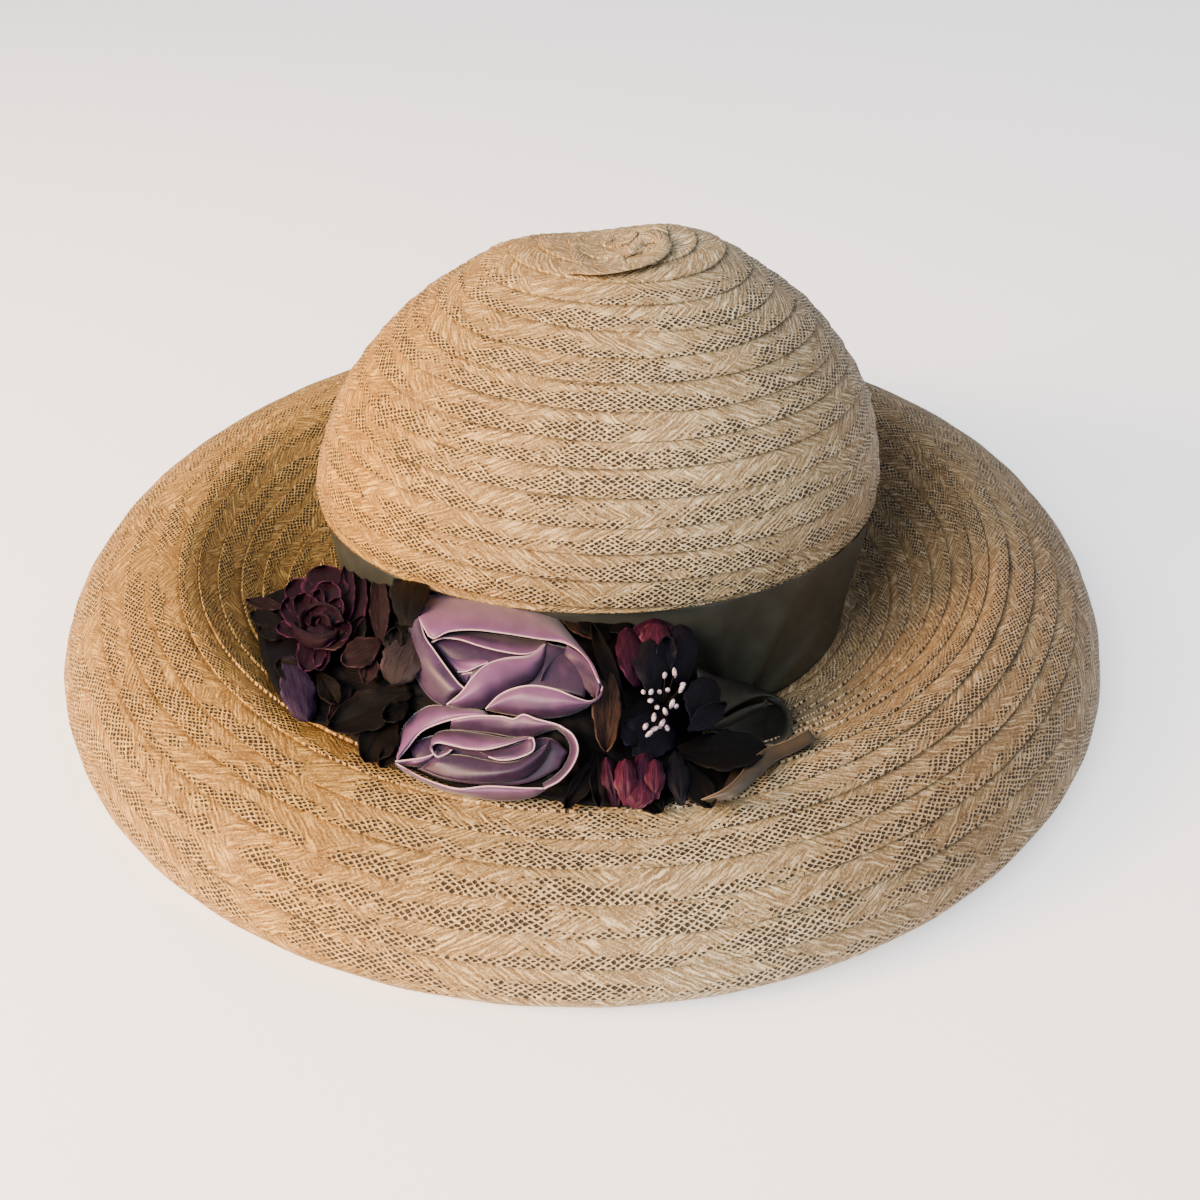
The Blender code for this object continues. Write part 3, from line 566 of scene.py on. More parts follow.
# Solids that the flowers and the knot lie on, and how the smooth bed is fitted to them: rays across and
# down, powers of x and y, and how far past its own field it is still used
BED_NODES = ("leaf_bed", "brim", "hat_band")
BED_SAMPLES = (33, 21)
BED_POWERS = (6, 5)
BED_REACH = 1.05
BED_THICKNESS = 0.4 * MM

# Stage: the paper floor, the sky and the soft lamps, which all point at the middle of the hat
FLOOR_REACH = 6.0
SKY_COLOUR = "#f0f2f8"
SKY_STRENGTH = 0.72
LAMPS_AIM = (0, 0, 0.05)
Lamp = namedtuple("Lamp", "name at size watts colour")
LAMPS = (
    Lamp("warm_left", (-1.25, -0.55, 0.75), 0.5, 64, "#ffc27c"),
    Lamp("soft_left", (-0.95, -1.15, 1.25), 0.9, 60, "#fff4ea"),
    Lamp("cool_back_right", (1.0, 0.8, 1.2), 1.0, 6, "#dfe5ff"),
)


class StrawSettings(bpy.types.PropertyGroup):
    """Sizes and colours of the sewn straw braid."""

    pitch: FloatProperty(
        name="Row pitch", description="Part of each braid row that shows", default=9.6 * MM, unit="LENGTH"
    )
    lip: FloatProperty(
        name="Lip", description="How far a row's free edge stands out", default=0.9 * MM, unit="LENGTH"
    )
    thickness: FloatProperty(
        name="Thickness", description="Thickness of the braid", default=0.8 * MM, unit="LENGTH"
    )
    fibre_spacing: FloatProperty(
        name="Fibre spacing", description="Between two fibres of the plait", default=1.45 * MM, unit="LENGTH"
    )
    fibre_slant: FloatProperty(
        name="Fibre slant", description="From fibre to row", default=math.radians(31), unit="ROTATION"
    )
    colour: FloatVectorProperty(
        name="Straw", description="Most of the fibres", default=linear("#907f5c"), subtype="COLOR"
    )
    pale_colour: FloatVectorProperty(
        name="Pale straw", description="The palest fibres", default=linear("#d8ceae"), subtype="COLOR"
    )
    tan_colour: FloatVectorProperty(
        name="Tan straw", description="The ripest fibres", default=linear("#68563a"), subtype="COLOR"
    )
    # Painted light by place on the hat: warm light painted on towards the left and the tip
    painted_warm_light_colour: FloatVectorProperty(
        name="Painted warm light on straw", description="Warm light painted on the left side", default=linear("#ffd052"), subtype="COLOR"
    )
    # Tint of the shade painted on the right side of the hat
    painted_shade_colour: FloatVectorProperty(
        name="Painted shade on straw", description="Shade painted on the right side", default=linear("#d0c4b8"), subtype="COLOR"
    )
    hole_colour: FloatVectorProperty(
        name="Holes", description="Shade between the fibres", default=linear("#1c1208"), subtype="COLOR"
    )


class RibbonSettings(bpy.types.PropertyGroup):
    """Sizes and colours of the satin ribbons."""

    thickness: FloatProperty(
        name="Thickness", description="Thickness of the satin", default=0.4 * MM, unit="LENGTH"
    )
    selvedge: FloatProperty(
        name="Selvedge", description="Radius of a rose ribbon's woven edge", default=0.27 * MM, unit="LENGTH"
    )
    band_colour: FloatVectorProperty(
        name="Band", description="Olive satin of band and knot", default=linear("#353934"), subtype="COLOR"
    )
    tail_colour: FloatVectorProperty(
        name="Tail", description="Faded satin of the loose end", default=linear("#403b31"), subtype="COLOR"
    )
    rose_colour: FloatVectorProperty(
        name="Rose", description="Mauve satin of the roses", default=linear("#734a73"), subtype="COLOR"
    )
    # Colour of the painted shade in the roses' folds, also used for a slow random cast
    rose_shade: FloatVectorProperty(
        name="Rose shade", description="Violet painted shade in folds", default=linear("#241730"), subtype="COLOR"
    )
    edge_colour: FloatVectorProperty(
        name="Rose edge", description="Pale woven selvedge", default=linear("#bd9fa9"), subtype="COLOR"
    )


SETTINGS = {"sun_hat_straw": StrawSettings, "sun_hat_ribbon": RibbonSettings}


def straw():
    return bpy.context.scene.sun_hat_straw


def ribbon():
    return bpy.context.scene.sun_hat_ribbon


def smooth(rows):
    """Points of a Catmull-Rom curve through the rows, which may hold numbers or points."""
    rows = np.array(rows, float)
    ends = np.concatenate([[2 * rows[0] - rows[1]], rows, [2 * rows[-1] - rows[-2]]])
    points = []
    for a, b, c, d in zip(ends, ends[1:], ends[2:], ends[3:]):
        for t in np.arange(CURVE_STEPS) / CURVE_STEPS:
            point = 2 * b + (c - a) * t
            point = point + (2 * a - 5 * b + 4 * c - d) * t**2
            point = point + (3 * (b - c) + d - a) * t**3
            points.append(0.5 * point)
    points.append(rows[-1])
    return np.array(points)


def unit(vectors):
    """The same directions, each with a length of one."""
    return vectors / np.maximum(np.linalg.norm(vectors, axis=-1, keepdims=True), 1e-12)


def travelled(points):
    """Distance from the first row of a line or grid of points to each of its rows."""
    steps = np.linalg.norm(np.diff(points, axis=0), axis=-1)
    return np.concatenate([[0.0], np.cumsum(steps.reshape(len(steps), -1).mean(axis=1))])


def wave(angle):
    """Height that the slow waves add at these angles round the brim."""
    total = np.zeros_like(angle)
    for bump in BRIM_WAVES:
        away = (np.degrees(angle) - bump.at_deg + 180) % 360 - 180
        total += bump.lift * BRIM_CREST_HEIGHT * np.exp(-((away / bump.reach_deg) ** 2))
    return total


class Skin:
    """A side profile that is swept round the hat, measured along its length."""

    def __init__(self, rows):
        self.rows = smooth(rows)
        plane = np.column_stack([(self.rows[:, 0] + self.rows[:, 1]) / 2, self.rows[:, 2]])
        self.distance = travelled(plane)
        self.length = self.distance[-1]
        self.way = unit(np.gradient(plane, self.distance, axis=0))

    def at(self, distance, angle, off):
        """Points at these distances along the profile and angles round the hat, moved out of its wall."""
        distance = np.clip(distance, 0.0, self.length)
        width, depth, height, shift, lift = (np.interp(distance, self.distance, c) for c in self.rows.T)
        out, up = (np.interp(distance, self.distance, c) for c in self.way.T)
        x = shift + (width - off * up) * np.sin(angle)
        y = -(depth - off * up) * np.cos(angle)
        return np.stack([x, y, height + off * out + lift * wave(angle)], axis=-1)


def neck_row(share, off=0.0):
    """The neck's outer surface, from its foot at 0 to its top at 1."""
    foot = NECK_FOOT_HEIGHT + SEAM_GAP
    return (
        HEAD_HALF_WIDTH + STRAW_WALL + share * NECK_FLARE_WIDTH + off,
        HEAD_HALF_DEPTH + STRAW_WALL + share * NECK_FLARE_DEPTH + off,
        foot + share * (CROWN_EDGE_HEIGHT - foot),
        CROWN_SHIFT,
        0.0,
    )


def crown_skin():
    width, depth, *_ = neck_row(1.0, CROWN_OVERHANG)
    rows = []
    for s in CROWN_SECTIONS:
        height = CROWN_EDGE_HEIGHT + s.rise * CROWN_RISE
        rows.append((s.out * width, s.out * depth, height, CROWN_SHIFT + s.lean * CROWN_LEAN, 0))
    return Skin(rows)


def brim_skin():
    foot_width, foot_depth, *_ = neck_row(0.0)
    rows = [
        (HEAD_HALF_WIDTH, HEAD_HALF_DEPTH, NECK_FOOT_HEIGHT, CROWN_SHIFT, 0),
        (foot_width + MM, foot_depth + MM, NECK_FOOT_HEIGHT, CROWN_SHIFT, 0),
    ]
    for s in BRIM_SECTIONS:
        half_width = foot_width + s.side * (BRIM_HALF_WIDTH - foot_width)
        half_depth = foot_depth + s.front * (BRIM_HALF_DEPTH - foot_depth)
        rows.append((half_width, half_depth, s.rise * BRIM_CREST_HEIGHT, (1 - s.side) * CROWN_SHIFT, s.wave))
    for s in RIM_SECTIONS:
        tuck = s.tuck * RIM_TUCK
        rows.append((BRIM_HALF_WIDTH - tuck, BRIM_HALF_DEPTH - tuck, s.height * RIM_HEIGHT, 0, 0))
    return Skin(rows)


CROWN = crown_skin()
BRIM = brim_skin()
NECK = Skin([neck_row(share) for share in np.linspace(1.0, 0.0, NECK_ROWS)])


def with_lumps(points):
    """Adds the lumps and dents of the pinched tip, which fade out towards the crown's edge."""
    wide = neck_row(1.0, CROWN_OVERHANG)[0]
    raised = points.copy()
    height = np.maximum(0.0, points[..., 2] - CROWN_EDGE_HEIGHT)
    for lump in TIP_LUMPS:
        middle = CROWN_SHIFT + CROWN_LEAN + lump.across * wide
        away = np.hypot(points[..., 0] - middle, points[..., 1] - lump.back * wide) / (lump.reach * wide)
        raised[..., 2] += lump.rise * height * np.exp(-(away**2))
    return raised


def node(tree, kind, inputs=None, **settings):
    """Adds a node with its settings, and links its inputs to sockets or sets them to values."""
    made = tree.nodes.new(kind)
    for key, value in settings.items():
        setattr(made, key, value)
    for key, value in (inputs or {}).items():
        if isinstance(value, bpy.types.NodeSocket):
            tree.links.new(value, made.inputs[key])
        else:
            made.inputs[key].default_value = value
    return made


def new_material(name):
    """An empty material with a Principled shader and an output."""
    made = bpy.data.materials.new(name)
    made.use_nodes = True
    made.node_tree.nodes.clear()
    shader = node(made.node_tree, "ShaderNodeBsdfPrincipled")
    node(made.node_tree, "ShaderNodeOutputMaterial", {"Surface": shader.outputs[0]})
    return made, made.node_tree, shader


def calc(tree, operation, a, b):
    return node(tree, "ShaderNodeMath", {0: a, 1: b}, operation=operation).outputs[0]


def plus(tree, a, b):
    return calc(tree, "ADD", a, b)


def times(tree, a, b):
    return calc(tree, "MULTIPLY", a, b)


def ramp(tree, value, low, high, to_low=0.0, to_high=1.0):
    """A value eased from one range to another."""
    inputs = {"Value": value, "From Min": low, "From Max": high, "To Min": to_low, "To Max": to_high}
    return node(tree, "ShaderNodeMapRange", inputs, interpolation_type="SMOOTHSTEP").outputs[0]


def mix(tree, share, first, second):
    """A value between two others."""
    return node(tree, "ShaderNodeMix", {0: share, 2: first, 3: second}).outputs[0]


def blend(tree, share, first, second, how="MIX"):
    """One colour over another; a colour is a socket or linear red, green and blue."""
    first, second = (c if isinstance(c, bpy.types.NodeSocket) else (*c, 1.0) for c in (first, second))
    colours = {0: share, 6: first, 7: second}
    return node(tree, "ShaderNodeMix", colours, data_type="RGBA", blend_type=how).outputs[2]


def noise(tree, place, scale, detail, roughness=0.5):
    """Soft random light and dark, as a value."""
    inputs = {"Vector": place, "Scale": scale, "Detail": detail, "Roughness": roughness}
    return node(tree, "ShaderNodeTexNoise", inputs).outputs[0]


def streaks(tree, place, across, along, detail, roughness=0.5, shift=(0, 0, 0)):
    """Random light and dark at different scales across and along, so that it is drawn out one way."""
    drawn = {"Vector": place, "Scale": (across, along, 1.0), "Location": shift}
    return noise(tree, node(tree, "ShaderNodeMapping", drawn).outputs[0], 1.0, detail, roughness)


def relief(tree, shader, height, strength, depth):
    """Lets a height tilt the surface, so that light catches it."""
    bump = node(tree, "ShaderNodeBump", {"Height": height, "Strength": strength, "Distance": depth})
    tree.links.new(bump.outputs[0], shader.inputs["Normal"])


def darker(colour, share):
    return tuple(share * channel for channel in colour)


def cloth_place(tree):
    """Place on a piece of cloth or ribbon, in metres."""
    return node(tree, "ShaderNodeUVMap", uv_map="cloth").outputs[0]


def wave_scale(period):
    """Scale of a Wave texture whose bands repeat at this length."""
    return 2 * math.pi / (20 * period)


def sewn_straw_braid():
    """Plaited straw, sewn in overlapping rows: matte crossing fibres, pale where ripe straw was split, dense
    in some places and an open lattice with dark gaps in others, and a fine grain along every fibre."""
    made, tree, shader = new_material("sewn_straw_braid")
    look = straw()
    uv = node(tree, "ShaderNodeUVMap", uv_map="braid").outputs[0]
    along, across = node(tree, "ShaderNodeSeparateXYZ", {0: uv}).outputs[0:2]

    # Two sets of crossing fibres, drawn a little unevenly, each with its grain
    wander = node(tree, "ShaderNodeTexNoise", {"Vector": uv, "Scale": 210.0, "Detail": 3.0}).outputs["Color"]
    drawn = node(tree, "ShaderNodeMix", {0: 0.0022, 4: uv, 5: wander}, data_type="VECTOR").outputs[1]
    fibres = []
    grains = []
    for slant in (look.fibre_slant, -look.fibre_slant):
        turn = {"Vector": drawn, "Rotation": (0, 0, slant + math.pi / 2)}
        turned = node(tree, "ShaderNodeMapping", turn).outputs[0]
        scale = wave_scale(look.fibre_spacing)
        bands = {"Vector": turned, "Scale": scale, "Distortion": 1.0, "Detail Scale": 0.7}
        fibres.append(node(tree, "ShaderNodeTexWave", bands, wave_profile="SIN").outputs["Fac"])
        grains.append(streaks(tree, turned, 1500.0, 95.0, 3.0, 0.6))

    # Dense and open places: a row opens towards its free edge, and the start of the winding is tight
    patch = streaks(tree, uv, 34.0, 120.0, 3.0, 0.65)
    lower_part = ramp(tree, across, 0.1 * look.pitch, 0.8 * look.pitch, 0.0, 0.13)
    tight_start = ramp(tree, along, 0.15, 0.9, -0.25, 0.0)
    openness = ramp(tree, plus(tree, plus(tree, patch, lower_part), tight_start), 0.53, 0.64)

    # Gaps where neither set of fibres lies
    gap = times(tree, calc(tree, "SUBTRACT", 1.0, fibres[0]), calc(tree, "SUBTRACT", 1.0, fibres[1]))
    uneven = ramp(tree, noise(tree, uv, 420.0, 1.0), 0.38, 0.62, 0.0, 0.42)
    smallest_gap = plus(tree, ramp(tree, openness, 0.0, 1.0, 0.93, 0.04), uneven)
    hole = times(tree, calc(tree, "GREATER_THAN", gap, smallest_gap), 0.93)

    # In dense places one set lies over the other in patches, in open ones the nearer fibre shows
    lie = ramp(tree, streaks(tree, uv, 26.0, 70.0, 2.0, shift=(7, 3, 0)), 0.47, 0.53)
    over = calc(tree, "GREATER_THAN", fibres[0], fibres[1])
    grain = mix(tree, mix(tree, openness, lie, over), grains[1], grains[0])
    single = mix(tree, lie, fibres[1], fibres[0])
    body = mix(tree, openness, single, calc(tree, "MAXIMUM", fibres[0], fibres[1]))

    # Ripe and pale fibres, with painted shade between them and a painted highlight along their backs
    shade = noise(tree, uv, 26.0, 3.0)
    colour = blend(tree, ramp(tree, grain, 0.36, 0.58), look.tan_colour, look.colour)
    colour = blend(tree, ramp(tree, grain, 0.50, 0.66), colour, look.pale_colour)
    colour = blend(tree, ramp(tree, shade, 0.4, 0.7, 0.0, 0.35), colour, look.tan_colour)
    # Painted shade in the crevices between the fibres, strongest where the lattice is open
    line = times(tree, ramp(tree, body, 0.05, 0.6, 0.7, 0.0), ramp(tree, openness, 0.0, 1.0, 0.12, 1.0))
    line = times(tree, line, ramp(tree, shade, 0.3, 0.6, 0.3, 1.0))
    colour = blend(tree, line, colour, look.tan_colour)
    # Painted highlight along the backs of the fibres
    fibre_back_highlight = times(tree, ramp(tree, body, 0.72, 1.0, 0.0, 0.45), ramp(tree, openness, 0.0, 1.0, 0.25, 1.0))
    colour = blend(tree, fibre_back_highlight, colour, look.pale_colour)
    speckle = noise(tree, uv, 1100.0, 2.0, 0.7)
    colour = blend(tree, ramp(tree, speckle, 0.5, 0.68, 0.0, 0.45), colour, look.tan_colour)
    colour = blend(tree, ramp(tree, speckle, 0.48, 0.34, 0.0, 0.35), colour, look.pale_colour)

    # Painted warm light towards the left and the tip, and painted shade towards the right
    position = node(tree, "ShaderNodeTexCoord").outputs["Object"]
    sideways, _, upwards = node(tree, "ShaderNodeSeparateXYZ", {0: position}).outputs
    # Painted warm light, strongest on the left and higher up
    leftwards = {"Value": sideways, "From Min": 0.03, "From Max": -0.08, "To Max": 0.8}
    painted_warm_light = node(tree, "ShaderNodeMapRange", leftwards).outputs[0]
    painted_warm_light = times(tree, painted_warm_light, ramp(tree, upwards, 0.05, 0.09, 0.95, 1.2))
    colour = blend(tree, painted_warm_light, colour, look.painted_warm_light_colour, "MULTIPLY")
    # Painted shade towards the right side of the hat
    colour = blend(tree, ramp(tree, sideways, 0.03, 0.13), colour, look.painted_shade_colour, "MULTIPLY")

    # Shade in the gaps and in the seam at the head of each row
    colour = blend(tree, hole, colour, look.hole_colour)
    seam = times(tree, ramp(tree, across, 0.2 * MM, 1.3 * MM, 0.6, 0.0), ramp(tree, patch, 0.35, 0.6))
    colour = blend(tree, seam, colour, look.hole_colour)
    tree.links.new(colour, shader.inputs["Base Color"])

    # Fibres, grain and specks stand up, and the gaps go in
    standing = times(tree, body, ramp(tree, openness, 0.0, 1.0, 0.2, 1.0))
    raised = plus(tree, standing, times(tree, grain, 0.6))
    raised = plus(tree, raised, times(tree, speckle, 0.5))
    relief(tree, shader, calc(tree, "SUBTRACT", raised, times(tree, hole, 1.6)), 0.75, 0.45 * MM)
    tree.links.new(ramp(tree, grain, 0.3, 0.7, 0.8, 0.5), shader.inputs["Roughness"])
    shader.inputs["Specular IOR Level"].default_value = 0.3
    return made


def woven_satin(name, colour, shade, roughness, sheen=0.0):
    """Satin ribbon, woven with long floats: smooth with a soft streaked gleam, with painted shade deep in
    its folds.
    """
    made, tree, shader = new_material(name)
    uv = cloth_place(tree)
    fold = node(tree, "ShaderNodeAttribute", attribute_name="fold").outputs["Fac"]
    slow = ramp(tree, noise(tree, uv, 90.0, 2.0), 0.3, 0.7, 0.0, 0.35)
    thread = streaks(tree, uv, 500.0, 5200.0, 2.0)
    # Painted shade: the fold value darkens the satin towards its shade colour, over a slow random cast
    base = blend(tree, plus(tree, slow, ramp(tree, fold, 0.2, 1.0, 0.0, 0.85)), colour, shade)
    base = blend(tree, ramp(tree, thread, 0.3, 0.7, 0.0, 0.22), base, darker(colour, 0.55))
    tree.links.new(base, shader.inputs["Base Color"])
    gleam = ramp(tree, thread, 0.2, 0.8, roughness - 0.06, roughness + 0.08)
    tree.links.new(gleam, shader.inputs["Roughness"])
    relief(tree, shader, thread, 0.18, 0.15 * MM)
    shader.inputs["Sheen Weight"].default_value = sheen
    shader.inputs["Sheen Roughness"].default_value = 0.35
    shader.inputs["Specular IOR Level"].default_value = 0.45
    return made


def woven_selvedge(name, colour):
    """The finished edge of a ribbon: tightly woven, so paler and duller than the satin."""
    made, tree, shader = new_material(name)
    ribs = noise(tree, cloth_place(tree), 900.0, 1.0)
    base = blend(tree, ramp(tree, ribs, 0.3, 0.7, 0.0, 0.35), colour, darker(colour, 0.7))
    tree.links.new(base, shader.inputs["Base Color"])
    shader.inputs["Roughness"].default_value = 0.55
    return made


def dyed_cloth(kind):
    """Starched cloth, dyed and pressed into petals: matte, darker along its veins, and paler at its rim,
    a worn cut edge and a painted highlight in one colour.
    """
    dye = DYES[kind]
    made, tree, shader = new_material(kind)
    uv = cloth_place(tree)
    rim = node(tree, "ShaderNodeAttribute", attribute_name="rim").outputs["Fac"]
    veins = streaks(tree, uv, 2600.0, 160.0, 3.0, 0.6)
    weave = noise(tree, uv, 2400.0, 1.0)
    # Painted highlight along the rim, broken into patches, together with the worn cut edge
    rim_highlight_patches = ramp(tree, noise(tree, uv, 150.0, 1.0), 0.42, 0.62, 0.1, 1.0)
    base = blend(tree, ramp(tree, veins, 0.35, 0.65), linear(dye.colour), linear(dye.vein))
    base = blend(tree, times(tree, ramp(tree, rim, 0.78, 1.0, 0.0, 0.75), rim_highlight_patches), base, linear(dye.edge))
    tree.links.new(base, shader.inputs["Base Color"])
    gleam = ramp(tree, weave, 0.3, 0.7, dye.roughness - 0.08, dye.roughness + 0.08)
    tree.links.new(gleam, shader.inputs["Roughness"])
    relief(tree, shader, plus(tree, veins, times(tree, weave, 0.25)), 0.5, 0.4 * MM)
    shader.inputs["Specular IOR Level"].default_value = 0.10
    return made


def pearl_dip():
    """Stamen tips dipped in pearl paint: small, smooth and shiny beads."""
    made, tree, shader = new_material("pearl_dipped_tip")
    place = node(tree, "ShaderNodeTexCoord").outputs["Object"]
    mottle = ramp(tree, noise(tree, place, 700.0, 1.0), 0.35, 0.65)
    tree.links.new(blend(tree, mottle, linear("#d9ced6"), linear("#7d6d82")), shader.inputs["Base Color"])
    shader.inputs["Roughness"].default_value = 0.28
    return made


def matte_paper():
    """Matte white backdrop paper, lit up a little so that it stays as pale as in the picture."""
    made, tree, shader = new_material("matte_paper_floor")
    mottle = noise(tree, node(tree, "ShaderNodeTexCoord").outputs["Object"], 2.0, 2.0)
    tree.links.new(blend(tree, mottle, linear("#f6f8fc"), linear("#f9fafe")), shader.inputs["Base Color"])
    shader.inputs["Roughness"].default_value = 0.9
    shader.inputs["Emission Color"].default_value = (*linear("#f6f8fc"), 1)
    shader.inputs["Emission Strength"].default_value = 0.85
    return made


# Points and faces of one piece of an object, with its place in the list of materials, its cloth places and
# the values that its look reads: how deep it lies in a fold, or how near the rim of its petal
Part = namedtuple("Part", "points faces material uv key values")


def mesh_piece(name, parts, materials, slot, replaces=()):
    """One object from its parts, riding with the hat and standing in for the solids that it replaces."""
    points, faces, indices, uvs = [], [], [], []
    values = {"fold": [], "rim": []}
    for part in parts:
        start = len(points)
        points.extend(map(tuple, part.points))
        faces.extend([tuple(start + i for i in face) for face in part.faces])
        indices.extend([part.material] * len(part.faces))
        uvs.extend(map(tuple, part.uv))
        for key, numbers in values.items():
            numbers.extend(part.values if part.key == key else np.zeros(len(part.points)))
    mesh = bpy.data.meshes.new(name)
    mesh.from_pydata(points, [], faces)
    mesh.update()
    mesh.polygons.foreach_set("material_index", indices)
    layer = mesh.uv_layers.new(name="braid" if slot == "straw" else "cloth")
    corners = np.zeros(len(mesh.loops), int)
    mesh.loops.foreach_get("vertex_index", corners)
    layer.data.foreach_set("uv", np.array(uvs, float)[corners].ravel())
    for key, numbers in values.items():
        attribute = mesh.attributes.new(key, "FLOAT", "POINT")
        attribute.data.foreach_set("value", np.array(numbers, float))
    mesh.shade_smooth()
    for material in materials:
        mesh.materials.append(material)
    piece = bpy.data.objects.new(name, mesh)
    bpy.context.scene.collection.objects.link(piece)
    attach(piece, "root")
    if replaces:
        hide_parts(*replaces)
    return piece


def grid_faces(rows, columns, start=0, flip=False):
    """Quads of a grid of points that are stored row by row."""
    faces = []
    for i in range(rows - 1):
        for j in range(columns - 1):
            a = start + i * columns + j
            quad = (a, a + 1, a + columns + 1, a + columns)
            faces.append(quad[::-1] if flip else quad)
    return faces


def ring_faces(rings, sides, flip=False):
    """Quads between neighbouring rings of points that are stored one after the other."""
    faces = []
    for i in range(rings):
        for j in range(sides):
            k = (j + 1) % sides
            a, b, c, d = i * sides + j, i * sides + k, (i + 1) * sides + k, (i + 1) * sides + j
            faces.append((a, d, c, b) if flip else (a, b, c, d))
    return faces


def normals(grid):
    """Unit normals of a grid of points."""
    return unit(np.cross(np.gradient(grid, axis=0), np.gradient(grid, axis=1)))


def cloth_part(grid, thickness, key="fold", values=None, material=0):
    """A closed sheet of this thickness behind a grid of points."""
    rows, columns = grid.shape[:2]
    count = rows * columns
    points = np.concatenate([grid.reshape(-1, 3), (grid - thickness * normals(grid)).reshape(-1, 3)])
    faces = grid_faces(rows, columns, flip=True) + grid_faces(rows, columns, count)
    top, bottom = range(columns), range(count - columns, count)
    left, right = range(0, count, columns), range(columns - 1, count, columns)
    for line, flip in ((top, False), (right, False), (bottom, True), (left, True)):
        for a, b in zip(line, line[1:]):
            quad = (a, b, b + count, a + count)
            faces.append(quad[::-1] if flip else quad)
    across = travelled(grid.swapaxes(0, 1))
    uv = np.stack(np.meshgrid(across - across.mean(), travelled(grid)), axis=-1).reshape(-1, 2)
    values = np.zeros(count) if values is None else values.ravel()
    return Part(points, faces, material, np.concatenate([uv, uv]), key, np.concatenate([values, values]))


def tube_part(line, radius, material, sides):
    """A round thread along a line of points, closed at both ends."""
    line = np.array(line)
    ways = unit(np.gradient(line, axis=0))
    side = unit(np.cross(ways, (0.3, 0.5, 0.8)))
    other = np.cross(ways, side)
    points = []
    for centre, s, o in zip(line, side, other):
        for t in 2 * np.pi * np.arange(sides) / sides:
            points.append(centre + radius * (math.cos(t) * s + math.sin(t) * o))
    points = np.array(points)
    faces = ring_faces(len(line) - 1, sides)
    faces.append(tuple(range(sides))[::-1])
    faces.append(tuple(range(len(points) - sides, len(points))))
    round_it = np.tile(np.arange(sides) * radius, len(line))
    uv = np.stack([np.repeat(travelled(line), sides), round_it], axis=-1)
    return Part(points, faces, material, uv, "fold", np.zeros(len(points)))


def bead_part(centre, long, wide, way):
    """A smooth bead, longer than wide."""
    turn = np.array(Vector(way).normalized().to_track_quat("Z", "Y").to_matrix())
    rings, sides = 7, 10
    points = []
    for i in range(rings + 1):
        polar = math.pi * i / rings
        ring = wide * math.sin(polar)
        for j in range(sides):
            turned = 2 * math.pi * j / sides
            point = (ring * math.cos(turned), ring * math.sin(turned), long * math.cos(polar))
            points.append(turn @ np.array(point) + centre)
    faces = ring_faces(rings, sides, flip=True)
    count = len(points)
    return Part(np.array(points), faces, 0, np.zeros((count, 2)), "fold", np.zeros(count))


def braid_part(skin, turns, shares, per_turn, lumps=False, seed=0.0, sink=0.0):
    """A straw braid wound in a spiral down a profile, each row over the start of the next."""
    look = straw()
    wound = np.linspace(0.0, turns + 1, int((turns + 1) * per_turn) + 1)[:, None]
    pitch = skin.length / turns
    angle = 2 * np.pi * wound + np.radians(BRAID_START_DEG)
    share = np.array(shares)[None, :]

    # Hand-sewn rows wander a little, pucker along their edge and swell and sink slowly
    wander = 0.05 * np.sin(3 * angle + seed) + 0.04 * np.sin(7.3 * wound * 2 + 1.7 * seed)
    place = pitch * (wound - 1 + share + wander * np.clip(share, 0, 1))
    rise = look.lip * share + BRAID_PUCKER * np.sin(41 * angle + 9 * share)
    rise = rise + BRAID_SWELL * np.sin(2.6 * angle + 3 * wound)
    rise = np.where(share < 0, look.lip * (BRAID_TUCK * share), rise)

    # The free edge is turned in, and what lies before the start of the profile goes under it
    turned_edge = BRAID_EDGE * np.clip((share - 0.65) / 0.3, 0, 1)
    hidden = np.clip(-place / pitch, 0, 1)
    outer = skin.at(place, angle, rise - hidden * MM - sink)
    inner = skin.at(place, angle, rise - look.thickness - turned_edge - hidden * MM - sink)
    if lumps:
        outer, inner = with_lumps(outer), with_lumps(inner)
    rows, columns = outer.shape[:2]
    half = rows * columns
    points = np.concatenate([outer.reshape(-1, 3), inner.reshape(-1, 3)])
    points[:, 2] = np.maximum(points[:, 2], 0.0)
    faces = grid_faces(rows, columns) + grid_faces(rows, columns, half, flip=True)
    for column, flip in ((0, True), (columns - 1, False)):
        for i in range(rows - 1):
            a, b = i * columns + column, (i + 1) * columns + column
            quad = (a, a + half, b + half, b)
            faces.append(quad[::-1] if flip else quad)
    along = travelled(outer[:, -1])[:, None]
    uv = np.stack(np.broadcast_arrays(along, share * look.pitch), axis=-1).reshape(-1, 2)
    return Part(points, faces, 0, np.concatenate([uv, uv]), "fold", np.zeros(2 * half))


